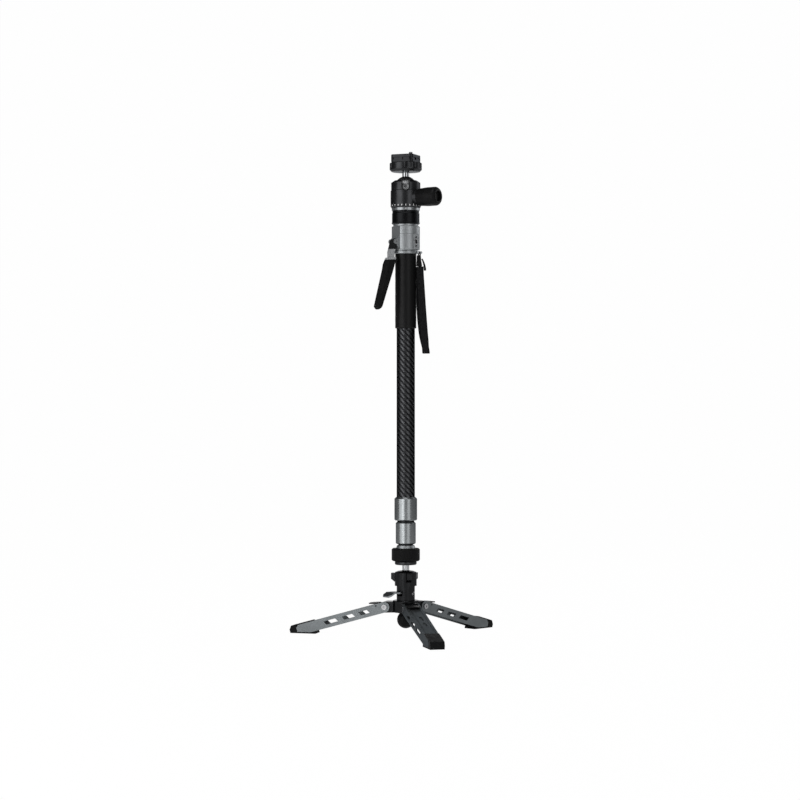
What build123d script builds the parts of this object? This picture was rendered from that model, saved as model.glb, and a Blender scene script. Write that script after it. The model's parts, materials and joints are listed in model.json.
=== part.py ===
from build123d import *
import math
import os

# A camera monopod, standing on its base with the three sections pushed in.
# Lengths are in millimetres and angles in degrees. +Z is up, the origin lies on the
# tubes' common axis at floor level, and an azimuth is measured from +X towards +Y.

# Clearances and overruns that all pieces share
running_gap = 0.05
slide_gap = 0.1
turn_gap = 0.3
cut_over = 1.0

# Base: legs
leg_count = 3
first_leg_azimuth = -75.6
leg_slope = 15.8
leg_span = 165.0
leg_tip_rise = 1.1
leg_height = 16.8
leg_root_width = 26.0
leg_tip_width = 22.6
leg_wall = 2.2
leg_web = 2.2
leg_metal_short = 12.0
leg_taper_start = 20.0
hinge_radius = 32.2
hinge_pin_radius = 2.5
hinge_pin_head_radius = 4.3
hinge_pin_head_height = 1.5
hinge_socket_width = 3.4
hinge_socket_depth = 1.0
window_start_shares = (0.155, 0.31, 0.49)
window_end_shares = (0.27, 0.445, 0.64)
window_height = 6.0
window_slant = 4.0
web_slot_start_shares = (0.33, 0.48)
web_slot_end_shares = (0.435, 0.575)
web_slot_width = 5.0
web_slot_depth = 1.5
web_groove_width = 0.8
web_groove_depth = 0.5
web_groove_offset = 7.6

# Base: rubber shoe on each leg
shoe_top_length = 39.0
shoe_pad_length = 41.0
shoe_top_thickness = 1.6
shoe_sole_thickness = 2.2
shoe_nose = 4.0

# Base: fold latch on each leg
latch_nose_reach = 9.4
latch_pivot_reach = 13.0
latch_pivot_drop = 3.0
latch_tail_reach = 25.0
latch_rise = 2.1
latch_tail_rise = 4.6
latch_tail_thickness = 1.6
latch_thickness = 2.2
latch_trunnion_radius = 1.4
latch_foot_length = 3.4
latch_swing_room = 1.0
latch_corner = 3.5
latch_grip_groove = 0.5
latch_groove_pitch = 2.0
latch_groove_count = 3

# Base: hub, column, ground foot
hub_radius = 21.0
hub_above_pin = 11.0
hub_below_pin = 8.0
hub_edge = 1.0
ear_radius = 8.8
stud_radius = 4.0
stud_nut_width = 13.0
stud_nut_height = 3.4
ground_foot_radius = 13.9
ground_foot_neck_radius = 10.4
ground_foot_drop = 20.0
ground_foot_neck_height = 3.0
ground_foot_groove_depth = 0.8
ground_foot_groove_width = 1.6
ground_foot_groove_count = 3
column_radius = 14.6
column_bore_radius = 12.2
column_height = 23.5
column_floor = 4.0

# Base: pedal and the cup that it pulls down
pedal_azimuth = -141.0
pedal_rise = 13.0
pedal_pin_offset = 7.0
pedal_pin_radius = 1.5
pedal_reach = 43.0
pedal_lip_length = 12.0
pedal_lip_angle = 28.0
pedal_plate_thickness = 2.2
pedal_width = 21.0
pedal_tongue_width = 12.0
pedal_tongue_thickness = 3.0
pedal_corner = 4.0
pedal_hole_radius = 2.2
pedal_hole_reach = 29.0
pedal_swing = 8.0
pedal_slot_room = 1.2
cup_stem_radius = 2.6
cup_stem_hole_radius = 3.5
cup_stem_flange_radius = 4.4
cup_stem_flange_height = 2.0
cup_flange_play = 0.8
cup_height = 7.0
cup_lift = 1.5

# Base: head with the lower ball
base_head_radius = 17.6
base_head_height = 23.5
base_head_wall = 2.0
base_head_floor = 2.0
base_head_lip = 2.6
base_head_edge = 1.0
base_head_mouth_radius = 9.5
base_head_top_radius = 12.0
catch_reach = 23.4
catch_width = 8.0
catch_top_drop = 3.5
catch_height = 14.0
catch_face_height = 9.5
base_ball_radius = 10.8
base_ball_rise = 15.5
base_stem_radius = 5.5
base_stem_reach = 18.0
seat_ring_below = 3.0
pan_shaft_radius = 5.0
pan_shaft_length = 11.0

# Lower section: flange, drag ring and fitting
lower_flange_radius = 17.5
lower_flange_height = 5.7
drag_ring_radius = 22.6
drag_ring_height = 20.8
drag_ring_edge = 1.8
drag_ring_bore_radius = 15.1
bevel_base_radius = 15.6
bevel_top_radius = 13.8
bevel_height = 4.5
lower_neck_radius = 12.0
lower_neck_height = 2.0

# Tubes
tube_1_radius = 14.6
tube_1_wall = 1.4
tube_2_radius = 12.5
tube_2_wall = 1.3
tube_3_radius = 10.5
tube_3_wall = 1.2
tube_3_socket_depth = 19.0

# Collars and their guide bushes
collar_2_radius = 16.0
collar_2_height = 34.7
collar_2_edge = 1.6
collar_2_neck_radius = 13.6
collar_2_neck_height = 2.6
collar_1_radius = 18.1
collar_1_height = 37.1
collar_1_edge = 2.6
collar_foot_edge = 1.4
collar_notch_azimuth = -58.0
collar_notch_width = 2.2
collar_notch_height = 2.6
collar_notch_depth = 1.2
collar_lip = 2.6
bush_length = 15.0

# Inner locks on top of the two inner tubes
lock_spigot_length = 20.0
lock_cage_height = 24.0
lock_cage_end = 4.0
lock_shoe_count = 3
lock_shoe_width = 8.0
lock_cam_radius = 6.8
lock_cam_waist_radius = 5.4
rod_width = 5.5
rod_tube_width = 8.0
rod_short = 6.8
plunger_room = 39.9
cage_room = 3.9
draw_reserve = 7.1
rod_head_radius = 5.0
rod_head_height = 2.4

# Grip, wrist strap ring
tube_1_bare = 269.7
grip_radius = 17.0
grip_length = 118.7
grip_edge = 1.6
strap_azimuth = -15.0
strap_ring_radius = 19.4
strap_ring_height = 4.3
strap_ring_edge = 0.7
strap_lug_reach = 26.6
strap_lug_width = 5.0
strap_lug_round = 2.0
strap_lug_hole_radius = 1.35
strap_lug_hole_reach = 24.0

# Lever housing
housing_recess_radius = 18.6
housing_recess_height = 1.7
housing_radius = 22.55
housing_lower_height = 24.0
housing_upper_height = 13.0
housing_neck_radius = 20.0
housing_neck_height = 3.0
housing_edge = 0.8
housing_flat_azimuth = -150.0
housing_flat_reach = 18.2
housing_bore_radius = 11.6
housing_spigot_length = 27.0
housing_socket_depth = 4.0
accessory_azimuth = -40.0
accessory_flat_reach = 21.65
accessory_flat_height = 24.0
accessory_rise = 12.0
accessory_hole_radius = 3.175
accessory_hole_depth = 8.0
locating_hole_radius = 1.9
locating_hole_depth = 4.0
locating_hole_spacing = 13.8

# Lever, its sleeve and the plunger that it lifts
lever_pin_rise = 12.0
lever_pin_reach = 22.0
lever_pin_radius = 1.6
lever_arm_width = 13.0
lever_ear_thickness = 3.0
lever_ear_radius = 4.4
lever_hub_radius = 3.9
lever_lean = 16.5
lever_flange_drop = 25.4
lever_flange_height = 3.6
lever_flange_inner = 23.6
lever_flange_outer = 33.6
lever_flange_width = 20.0
lever_arm_inner = 24.2
lever_arm_outer = 30.4
lever_nose_reach = 9.2
lever_nose_thickness = 3.4
lever_core_thickness = 3.6
lever_core_width = 11.0
sleeve_length = 83.0
sleeve_root_thickness = 10.0
sleeve_tip_thickness = 6.4
sleeve_root_width = 20.0
sleeve_tip_width = 16.6
sleeve_shoulder_drop = 18.0
sleeve_shoulder_out = 2.6
sleeve_tip_round = 5.0
plunger_radius = 11.5
plunger_height = 12.0
plunger_groove_radius = 8.4
plunger_groove_height = 4.8
plunger_bore_radius = 3.6

# Pan base, pan lock ring, ball head
pan_core_radius = 18.0
pan_lock_radius = 22.5
pan_lock_height = 18.4
pan_lock_edge = 1.2
pan_lock_bead_height = 2.4
pan_lock_bead_depth = 0.5
pan_groove_radius = 21.4
pan_groove_height = 3.0
pan_ring_radius = 22.4
pan_ring_height = 4.0
pan_spindle_radius = 7.0
pan_spindle_height = 8.0
pan_stud_radius = 6.0
pan_stud_length = 8.0
head_radius = 24.3
head_upper_radius = 23.4
head_height = 43.7
head_step_rise = 27.4
head_step_height = 0.9
head_foot_edge = 1.4
head_foot_rise = 2.1
head_top_bevel_height = 3.4
head_top_radius = 18.6
ball_radius = 18.0
ball_rise = 33.1
ball_gap = 0.1
notch_width = 13.8
notch_azimuth = -90.0
notch_drop = 0.7
seat_radius = 13.8
seat_below_ball = 19.2
seat_height = 9.6
knob_azimuth = -35.0
knob_rise = 16.0
boss_radius = 13.0
boss_reach = 27.0
knob_root_radius = 13.8
knob_radius = 15.0
knob_reach = 63.0
knob_flare_share = 0.45
knob_end_round = 6.0
knob_recess_radius = 8.6
knob_recess_depth = 4.0
knob_screw_radius = 3.0
ball_stem_radius = 5.5
ball_stem_root_radius = 4.0
ball_stem_root_length = 10.0

# Quick-release clamp, camera plate and camera screw
clamp_above_head_radius = 0.5
clamp_core_radius = 19.5
clamp_height = 14.8
clamp_spigot_radius = 4.0
clamp_spigot_length = 7.0
clamp_flange_radius = 21.6
clamp_flange_height = 1.8
lock_ring_radius = 25.8
lock_ring_height = 14.0
lock_ring_bottom_edge = 3.0
lock_ring_top_edge = 1.0
flute_count = 10
flute_pitch_angle = 13.5
flute_radius = 2.2
flute_depth = 1.4
flute_zone_count = 2
flute_zone_azimuth = -35.0
flute_margin = 2.0
plate_azimuth = -23.0
plate_size = 38.0
plate_height = 12.0
plate_corner = 5.0
plate_edge = 0.8
plate_foot_size = 29.0
plate_foot_height = 3.6
plate_foot_corner = 3.0
plate_band_depth = 1.6
plate_band_height = 4.2
plate_band_rise = 3.0
plate_rib_width = 3.4
screw_radius = 3.175
screw_offset = 8.6
screw_stand = 4.5
screw_shank_radius = 2.6
screw_head_radius = 5.2
screw_head_height = 2.5
screw_coin_slot_width = 1.4
screw_slot_play = 0.15
screw_pocket_play = 0.4
screw_clip_thickness = 1.2
plate_roof = 5.8

# Wrist strap
strap_top_outer = 29.4
strap_mid_outer = 34.2
strap_low_outer = 37.0
strap_end_outer = 39.8
strap_thickness = 1.3
strap_ply_gap = 2.2
strap_spread = 10.4
strap_top_drop = 20.5
strap_length = 139.0
strap_top_inner = 18.0
strap_mid_inner = 18.2
strap_low_inner = 21.2
strap_end_inner = 27.2
strap_mid_share = 0.5
strap_low_share = 0.76
strap_cord_radius = 1.0
strap_cord_spread = 2.6
strap_cord_turn_radius = 1.6
strap_cord_sharp_turn = 60.0
strap_knot_rise = 8.5
bend_fill_share = 0.45
strap_tab_thickness = 1.2
strap_tab_width = 6.0
strap_tab_height = 20.0
strap_tab_reach = 8.4
strap_tab_drop = 7.6
strap_tab_belly_share = 0.75
strap_tab_clear_share = 1.5

# Heights worked out from the sizes above, from the floor up
hinge_height = leg_span * math.sin(math.radians(leg_slope)) + leg_tip_rise
hub_bottom = hinge_height - hub_below_pin
hub_top = hinge_height + hub_above_pin
head_floor_height = hub_top + column_height
pedal_height = hub_top + pedal_rise
base_ball_height = head_floor_height + base_ball_rise
base_head_top = head_floor_height + base_head_height
lower_flange_bottom = base_ball_height + base_stem_reach
lower_fitting_bottom = lower_flange_bottom + lower_flange_height
bevel_bottom = lower_fitting_bottom + drag_ring_height
lower_neck_bottom = bevel_bottom + bevel_height
collar_2_bottom = lower_neck_bottom + lower_neck_height + turn_gap
collar_2_top = collar_2_bottom + collar_2_height
collar_1_bottom = collar_2_top + collar_2_neck_height + turn_gap
collar_1_top = collar_1_bottom + collar_1_height
grip_bottom = collar_1_top + tube_1_bare
grip_top = grip_bottom + grip_length
strap_ring_bottom = grip_top + turn_gap
strap_ring_top = strap_ring_bottom + strap_ring_height
recess_bottom = strap_ring_top + turn_gap
housing_bottom = recess_bottom + housing_recess_height + housing_edge
housing_seam = housing_bottom + housing_lower_height
housing_top = housing_seam + housing_upper_height
pan_core_bottom = housing_top + housing_neck_height
pan_groove_bottom = pan_core_bottom + turn_gap + pan_lock_height + turn_gap
pan_ring_bottom = pan_groove_bottom + pan_groove_height
pan_ring_top = pan_ring_bottom + pan_ring_height
head_bottom = pan_ring_top + turn_gap
head_top = head_bottom + head_height
ball_height = head_bottom + ball_rise
clamp_bottom = ball_height + head_radius + clamp_above_head_radius
clamp_top = clamp_bottom + clamp_height
plate_bottom = clamp_top + turn_gap
plate_top = plate_bottom + plate_height

# Places that several pieces share
lever_pin_height = housing_bottom + lever_pin_rise
accessory_height = housing_bottom + accessory_rise
knob_height = head_bottom + knob_rise
tube_3_bottom = lower_neck_bottom + lower_neck_height - tube_3_socket_depth
bush_2_bottom = collar_2_bottom + collar_lip
tube_2_bottom = bush_2_bottom + bush_length
bush_1_bottom = collar_1_bottom + collar_lip
tube_1_bottom = bush_1_bottom + bush_length
tube_1_top = housing_bottom + housing_socket_depth
tube_2_top = lever_pin_height - plunger_height / 2 - plunger_room - lock_cage_height
tube_3_top = tube_2_top - lock_spigot_length - lock_cage_height - cage_room
section_travel = tube_3_top - bush_2_bottom - bush_length - draw_reserve
rod_bottom = tube_2_top + lock_cage_end - section_travel + rod_short
rod_tube_bottom = tube_3_top + lock_cage_end - section_travel + rod_short
leg_inner_width = leg_root_width - 2 * leg_wall
metal_end = leg_span - leg_metal_short
web_start = latch_pivot_reach + latch_foot_length / 2 + latch_swing_room
screw_head_top = plate_top - plate_roof - screw_clip_thickness - 2 * slide_gap


def turned(*outline):
    """A solid of revolution about the monopod's axis, from (radius, height) points."""
    face = make_face(Polyline(*[(r, 0, z) for r, z in outline], close=True))
    return revolve(face, Axis.Z)


def slab(width, *outline):
    """A flat piece in the XZ plane, from (reach, height) points, centred on its width."""
    face = make_face(Polyline(*[(x, 0, z) for x, z in outline], close=True))
    return extrude(face, amount=width / 2, dir=(0, 1, 0), both=True)


def rod(radius, low, high, reach=0, side=0):
    """An upright cylinder between two heights."""
    place = Pos(reach, side, (low + high) / 2)
    return place * Cylinder(radius, high - low)


def cross_rod(radius, length, reach, height):
    """A cylinder along Y, centred on the XZ plane."""
    return Pos(reach, 0, height) * Rot(90, 0, 0) * Cylinder(radius, length)


def hex_bar(width, low, high):
    """An upright hexagonal bar of one width across its flats."""
    flat = RegularPolygon(width / 2, 6, major_radius=False)
    return Pos(0, 0, low) * extrude(flat, amount=high - low)


def ring(outer, inner, low, high, edge=0.0):
    """A plain ring whose two outer corners are bevelled by edge."""
    return turned(
        (inner, low),
        (outer - edge, low),
        (outer, low + edge),
        (outer, high - edge),
        (outer - edge, high),
        (inner, high),
    ) if edge else turned((inner, low), (outer, low), (outer, high), (inner, high))


def around(shape, azimuth):
    """A shape turned about the monopod's axis."""
    return Rot(0, 0, azimuth) * shape


def spread(shape, count, first=0.0):
    """Copies of a shape at even azimuths."""
    return [around(shape, first + k * 360 / count) for k in range(count)]


def group(*shapes):
    """Separate solids that share one node."""
    return Compound(children=[s for shape in shapes for s in shape.solids()])


# Legs. They are drawn lying along +X with the hinge pin at the origin.


def floor_line(reach, lift=0.0):
    """The height, across the leg, of a level plane that lies lift above the floor."""
    slope = math.radians(leg_slope)
    return (lift - hinge_height + reach * math.sin(slope)) / math.cos(slope)


def sole_start(lift):
    """How far along the leg a level plane meets the leg's lower edge."""
    slope = math.radians(leg_slope)
    drop = leg_height / 2 * math.cos(slope)
    return (hinge_height - lift - drop) / math.sin(slope)


def leg_outline(inset=0.0):
    """The leg's side view, lying inside its full outline by inset at the top edge."""
    half = leg_height / 2
    corner = leg_metal_short / 3
    return (
        (0, half - inset),
        (metal_end - corner, half - inset),
        (metal_end, half - corner),
        (metal_end, floor_line(metal_end, shoe_sole_thickness)),
        (sole_start(shoe_sole_thickness), -half),
        (0, -half),
    )


def leg_plan(inset=0.0):
    """The leg's view from above: straight by the hinge, then tapering to the tip."""
    root, tip = leg_root_width / 2 - inset, leg_tip_width / 2 - inset
    start = -leg_height
    outline = Polyline(
        (start, -root),
        (leg_taper_start, -root),
        (leg_span + cut_over, -tip),
        (leg_span + cut_over, tip),
        (leg_taper_start, root),
        (start, root),
        close=True,
    )
    return extrude(make_face(outline), amount=leg_height, both=True)


def leg_envelope():
    """The leg's outer form before it is hollowed."""
    body = slab(leg_root_width, *leg_outline())
    body += cross_rod(leg_height / 2, leg_root_width, 0, 0)
    return body & leg_plan()


def leg_hollow():
    """The channel inside a leg, open below and open over the hinge."""
    low = -leg_height
    under_web = slab(
        leg_root_width,
        (-leg_height, low),
        (leg_span, low),
        (leg_span, leg_height / 2 - leg_web),
        (-leg_height, leg_height / 2 - leg_web),
    )
    over_hinge = slab(
        leg_root_width,
        (-leg_height, low),
        (web_start, low),
        (web_start, leg_height),
        (-leg_height, leg_height),
    )
    return (under_web + over_hinge) & leg_plan(leg_wall)


def window(start, end):
    """One slanted opening through both side walls of a leg."""
    half = window_height / 2
    return slab(
        leg_root_width + 2 * cut_over,
        (start, -half),
        (end - window_slant, -half),
        (end, half),
        (start + window_slant, half),
    )


def make_leg():
    leg = leg_envelope() - leg_hollow()
    for start, end in zip(window_start_shares, window_end_shares):
        leg -= window(start * leg_span, end * leg_span)
    for start, end in zip(web_slot_start_shares, web_slot_end_shares):
        length = (end - start) * leg_span
        slot = extrude(SlotOverall(length, web_slot_width), amount=leg_web)
        leg -= Pos(start * leg_span + length / 2, 0, leg_height / 2 - web_slot_depth) * slot
    groove_start = web_start + web_groove_offset
    groove_end = leg_span - shoe_top_length
    groove = Box(groove_end - groove_start, web_groove_width, 2 * web_groove_depth)
    for side in (-1, 1):
        middle = (groove_start + groove_end) / 2
        leg -= Pos(middle, side * web_groove_offset, leg_height / 2) * groove
    leg -= cross_rod(hinge_pin_radius + running_gap, 2 * leg_root_width, 0, 0)
    leg -= cross_rod(
        latch_trunnion_radius + running_gap,
        2 * leg_root_width,
        latch_pivot_reach,
        leg_height / 2 - latch_pivot_drop,
    )
    return leg


def make_shoe():
    half = leg_height / 2
    top_start = leg_span - shoe_top_length
    pad_start = leg_span - shoe_pad_length
    high = half + shoe_top_thickness
    outer = slab(
        leg_root_width,
        (top_start, half),
        (top_start + shoe_top_thickness, high),
        (leg_span - shoe_nose, high),
        (leg_span, half - shoe_nose),
        (leg_span, floor_line(leg_span)),
        (pad_start, floor_line(pad_start)),
        (pad_start, -half),
        (sole_start(shoe_sole_thickness), -half),
        (metal_end, floor_line(metal_end, shoe_sole_thickness)),
        (metal_end, half),
    )
    outer &= leg_plan()
    filled = slab(leg_root_width, *leg_outline()) & leg_plan(leg_wall)
    under_web = slab(
        leg_root_width,
        (top_start, -leg_height),
        (metal_end - leg_metal_short / 3, -leg_height),
        (metal_end - leg_metal_short / 3, half - leg_web),
        (top_start, half - leg_web),
    )
    shoe = outer + (filled & under_web)
    return shoe - make_leg()


def make_latch():
    half = leg_height / 2
    pivot = half - latch_pivot_drop
    foot = latch_foot_length / 2
    width = leg_inner_width - 2 * turn_gap
    body = slab(
        width,
        (latch_nose_reach, half - latch_thickness),
        (latch_nose_reach, half + latch_rise / 2),
        (latch_pivot_reach, half + latch_rise),
        (latch_tail_reach, half + latch_tail_rise),
        (latch_tail_reach, half + latch_tail_rise - latch_tail_thickness),
        (latch_pivot_reach + foot, half + latch_rise - latch_tail_thickness),
        (latch_pivot_reach + foot, pivot - foot),
        (latch_pivot_reach - foot, pivot - foot),
        (latch_pivot_reach - foot, half - latch_thickness),
    )
    side = width / 2
    corners = Polyline(
        (latch_nose_reach, -side),
        (latch_tail_reach - latch_corner, -side),
        (latch_tail_reach, -side + latch_corner),
        (latch_tail_reach, side - latch_corner),
        (latch_tail_reach - latch_corner, side),
        (latch_nose_reach, side),
        close=True,
    )
    body &= extrude(make_face(corners), amount=leg_height, both=True)
    rise_per_reach = (latch_tail_rise - latch_rise) / (latch_tail_reach - latch_pivot_reach)
    for step in range(latch_groove_count):
        back = (step + 1) * latch_groove_pitch
        top = half + latch_tail_rise - back * rise_per_reach
        body -= cross_rod(latch_grip_groove, width + cut_over, latch_tail_reach - back, top)
    trunnion = cross_rod(latch_trunnion_radius, leg_root_width, latch_pivot_reach, pivot)
    return body + trunnion


def on_leg(shape, k):
    """Puts a piece drawn on a lying leg in its place on leg number k."""
    lowered = Pos(hinge_radius, 0, hinge_height) * Rot(0, leg_slope, 0) * shape
    return around(lowered, first_leg_azimuth + k * 360 / leg_count)


# Base


def make_hub():
    ear_width = leg_inner_width - 2 * turn_gap
    body = ring(hub_radius, stud_radius, hub_bottom, hub_top, hub_edge)
    ear = cross_rod(ear_radius, ear_width, hinge_radius, hinge_height)
    ear += slab(
        ear_width,
        (hub_radius / 2, hinge_height - hub_below_pin),
        (hinge_radius, hinge_height - ear_radius),
        (hinge_radius, hinge_height + ear_radius),
        (hub_radius / 2, hinge_height + ear_radius),
    )
    ear -= rod(stud_radius, 0, hub_top)
    ear -= cross_rod(hinge_pin_radius, 2 * leg_root_width, hinge_radius, hinge_height)
    for shape in spread(ear, leg_count, first_leg_azimuth):
        body += shape
    return body - rod(stud_radius, 0, hub_top + cut_over)


def make_hinge_pins():
    head_start = leg_root_width / 2 + slide_gap
    length = 2 * (head_start + hinge_pin_head_height)
    pin = cross_rod(hinge_pin_radius, length, hinge_radius, hinge_height)
    socket = Rot(90, 0, 0) * extrude(
        RegularPolygon(hinge_socket_width / 2, 6, major_radius=False),
        amount=hinge_socket_depth,
        both=True,
    )
    for side in (-1, 1):
        middle = side * (head_start + hinge_pin_head_height / 2)
        head = Rot(90, 0, 0) * Cylinder(hinge_pin_head_radius, hinge_pin_head_height)
        pin += Pos(hinge_radius, middle, hinge_height) * head
        pin -= Pos(hinge_radius, side * length / 2, hinge_height) * socket
    return group(*spread(pin, leg_count, first_leg_azimuth))


def make_stud():
    nut_bottom = hub_top + column_floor
    stud = rod(stud_radius, ground_foot_height() - cut_over, nut_bottom + stud_nut_height)
    return stud + hex_bar(stud_nut_width, nut_bottom, nut_bottom + stud_nut_height)


def ground_foot_height():
    """The height of the middle of the rubber ball under the hub."""
    return hinge_height - ground_foot_drop


def make_ground_foot():
    middle = ground_foot_height()
    ball = Pos(0, 0, middle) * Sphere(ground_foot_radius)
    neck = rod(ground_foot_neck_radius, middle, hub_bottom)
    foot = ball + neck
    for k in range(ground_foot_groove_count):
        low = middle - (2 * k + 1) * ground_foot_groove_width
        reach = math.sqrt(ground_foot_radius**2 - (low - middle) ** 2)
        foot -= ring(
            ground_foot_radius + cut_over,
            reach - ground_foot_groove_depth,
            low,
            low + ground_foot_groove_width / 2,
        )
    foot &= rod(ground_foot_radius + cut_over, 0, hub_bottom)
    return foot - rod(stud_radius, middle - cut_over, hub_bottom + cut_over)


def make_column():
    column = rod(column_radius, hub_top, head_floor_height)
    column -= rod(column_bore_radius, hub_top + column_floor, head_floor_height)
    column -= rod(stud_radius, hub_top, head_floor_height)
    arm = column_radius + pedal_pin_offset
    drop = arm * math.sin(math.radians(pedal_swing))
    thick = pedal_tongue_thickness / 2
    slot = slab(
        pedal_tongue_width + 2 * pedal_slot_room,
        (0, pedal_height - thick - drop - pedal_slot_room),
        (2 * column_radius, pedal_height - thick - drop - pedal_slot_room),
        (2 * column_radius, pedal_height + thick + pedal_slot_room / 2),
        (0, pedal_height + thick + pedal_slot_room / 2),
    )
    hole = cross_rod(
        pedal_pin_radius, 2 * column_radius, -pedal_pin_offset, pedal_height
    )
    return column - around(slot, pedal_azimuth) - around(hole, pedal_azimuth)


def make_pedal_pin():
    seat = math.sqrt(column_radius**2 - pedal_pin_offset**2) - turn_gap
    pin = cross_rod(pedal_pin_radius, 2 * seat, -pedal_pin_offset, pedal_height)
    return around(pin, pedal_azimuth)


def make_pedal():
    """The foot plate, one bent sheet with a narrow tongue that runs into the column."""
    plate_start = column_radius + pedal_slot_room
    thick = pedal_tongue_thickness / 2
    top = pedal_height + thick
    bend = pedal_reach - pedal_lip_length
    lip = math.radians(pedal_lip_angle)
    end = bend + pedal_lip_length * math.cos(lip)
    fall = pedal_lip_length * math.sin(lip)
    plate = slab(
        pedal_width,
        (plate_start, top - pedal_plate_thickness),
        (plate_start, top),
        (bend, top),
        (end, top - fall),
        (end - pedal_plate_thickness * math.sin(lip), top - fall - pedal_plate_thickness),
        (bend - pedal_plate_thickness * math.tan(lip / 2), top - pedal_plate_thickness),
    )
    corners = Polyline(
        (plate_start, -pedal_width / 2 + pedal_corner / 2),
        (plate_start + pedal_corner, -pedal_width / 2),
        (end - pedal_corner, -pedal_width / 2),
        (end, -pedal_width / 2 + pedal_corner),
        (end, pedal_width / 2 - pedal_corner),
        (end - pedal_corner, pedal_width / 2),
        (plate_start + pedal_corner, pedal_width / 2),
        (plate_start, pedal_width / 2 - pedal_corner / 2),
        close=True,
    )
    plate &= extrude(make_face(corners), amount=2 * pedal_height)
    plate -= rod(pedal_hole_radius, pedal_height - thick - cut_over, top + cut_over, pedal_hole_reach)
    tongue = slab(
        pedal_tongue_width,
        (-pedal_pin_offset, pedal_height - thick),
        (plate_start + pedal_corner, pedal_height - thick),
        (plate_start + pedal_corner, top),
        (-pedal_pin_offset, top),
    )
    eye = cross_rod(thick + pedal_pin_radius, pedal_tongue_width, -pedal_pin_offset, pedal_height)
    pedal = plate + tongue + eye
    pedal -= cross_rod(
        pedal_pin_radius + running_gap, pedal_width, -pedal_pin_offset, pedal_height
    )
    pedal -= rod(cup_stem_hole_radius, pedal_height - thick - cut_over, top + cut_over)
    return around(pedal, pedal_azimuth)


def make_ball_lock_cup():
    low = head_floor_height + base_head_floor + cup_lift
    tongue_bottom = pedal_height - pedal_tongue_thickness / 2 - cup_flange_play
    cup = rod(base_head_radius - base_head_wall - 2 * slide_gap, low, low + cup_height)
    cup -= Pos(0, 0, base_ball_height) * Sphere(base_ball_radius + slide_gap)
    flange = rod(cup_stem_flange_radius, tongue_bottom - cup_stem_flange_height, tongue_bottom)
    return cup + rod(cup_stem_radius, tongue_bottom, low) + flange


def make_base_head():
    bore = base_head_radius - base_head_wall
    lip_bottom = base_head_top - base_head_lip
    head = turned(
        (cup_stem_radius + slide_gap, head_floor_height),
        (base_head_radius, head_floor_height),
        (base_head_radius, lip_bottom),
        (base_head_radius - base_head_edge, lip_bottom + base_head_edge),
        (base_head_top_radius, base_head_top),
        (base_head_mouth_radius, base_head_top),
        (base_head_mouth_radius, lip_bottom),
        (bore, lip_bottom),
        (bore, head_floor_height + base_head_floor),
        (cup_stem_radius + slide_gap, head_floor_height + base_head_floor),
    )
    high = base_head_top - catch_top_drop
    catch = slab(
        catch_width,
        (bore + slide_gap, high),
        (catch_reach, high),
        (catch_reach, high - catch_face_height),
        (base_head_radius, high - catch_height),
        (bore + slide_gap, high - catch_height),
    )
    for shape in spread(catch, leg_count, first_leg_azimuth):
        head += shape
    return head


def make_base_seat_ring():
    outer = base_head_radius - base_head_wall - slide_gap
    low = base_ball_height - seat_ring_below
    high = base_head_top - base_head_lip - slide_gap
    return rod(outer, low, high) - Pos(0, 0, base_ball_height) * Sphere(
        base_ball_radius + running_gap
    )


def make_base_ball():
    shoulder = lower_flange_bottom - slide_gap
    ball = Pos(0, 0, base_ball_height) * Sphere(base_ball_radius)
    ball += rod(base_stem_radius, base_ball_height, shoulder)
    return ball + rod(pan_shaft_radius, shoulder, shoulder + pan_shaft_length)


# Lower section


def make_lower_flange():
    edge = lower_flange_height / 5
    return ring(
        lower_flange_radius,
        pan_shaft_radius + running_gap,
        lower_flange_bottom,
        lower_fitting_bottom,
        edge,
    )


def make_drag_ring():
    low, high = lower_fitting_bottom + turn_gap, bevel_bottom - turn_gap
    return ring(drag_ring_radius, drag_ring_bore_radius, low, high, drag_ring_edge)


def make_lower_fitting():
    core = drag_ring_bore_radius - slide_gap
    top = lower_neck_bottom + lower_neck_height
    shaft_top = lower_flange_bottom - slide_gap + pan_shaft_length + turn_gap
    fitting = turned(
        (0, lower_fitting_bottom),
        (core, lower_fitting_bottom),
        (core, bevel_bottom),
        (bevel_base_radius, bevel_bottom),
        (bevel_top_radius, lower_neck_bottom),
        (lower_neck_radius, lower_neck_bottom),
        (lower_neck_radius, top),
        (0, top),
    )
    fitting -= rod(pan_shaft_radius + running_gap, lower_flange_bottom, shaft_top)
    return fitting - rod(tube_3_radius, tube_3_bottom, top)


def make_tube(radius, wall, low, high):
    return ring(radius, radius - wall, low, high)


def make_collar(radius, edge, low, high, tube_radius, inner_radius, neck=0.0, neck_radius=0.0):
    """A ferrule bonded to the foot of one tube, with a lip round the tube inside it."""
    collar = turned(
        (tube_radius, low),
        (radius - collar_foot_edge, low),
        (radius, low + collar_foot_edge),
        (radius, high - edge),
        (radius - edge, high),
        (tube_radius, high),
    )
    if neck:
        collar += ring(neck_radius, tube_radius, high, high + neck)
        notch = Pos(radius, 0, high) * Box(
            2 * (collar_notch_depth + edge), collar_notch_width, 2 * collar_notch_height
        )
        collar -= around(notch, collar_notch_azimuth)
    return collar + ring(radius - edge, inner_radius + turn_gap, low, low + collar_lip)


def make_bush(outer, inner, low):
    """The plastic guide that the inner tube slides in, with a split down one side."""
    bush = ring(outer, inner + running_gap, low, low + bush_length)
    gap = Pos(outer, 0, low + bush_length / 2) * Box(outer, bush_length / 8, 2 * bush_length)
    return bush - gap


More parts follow.
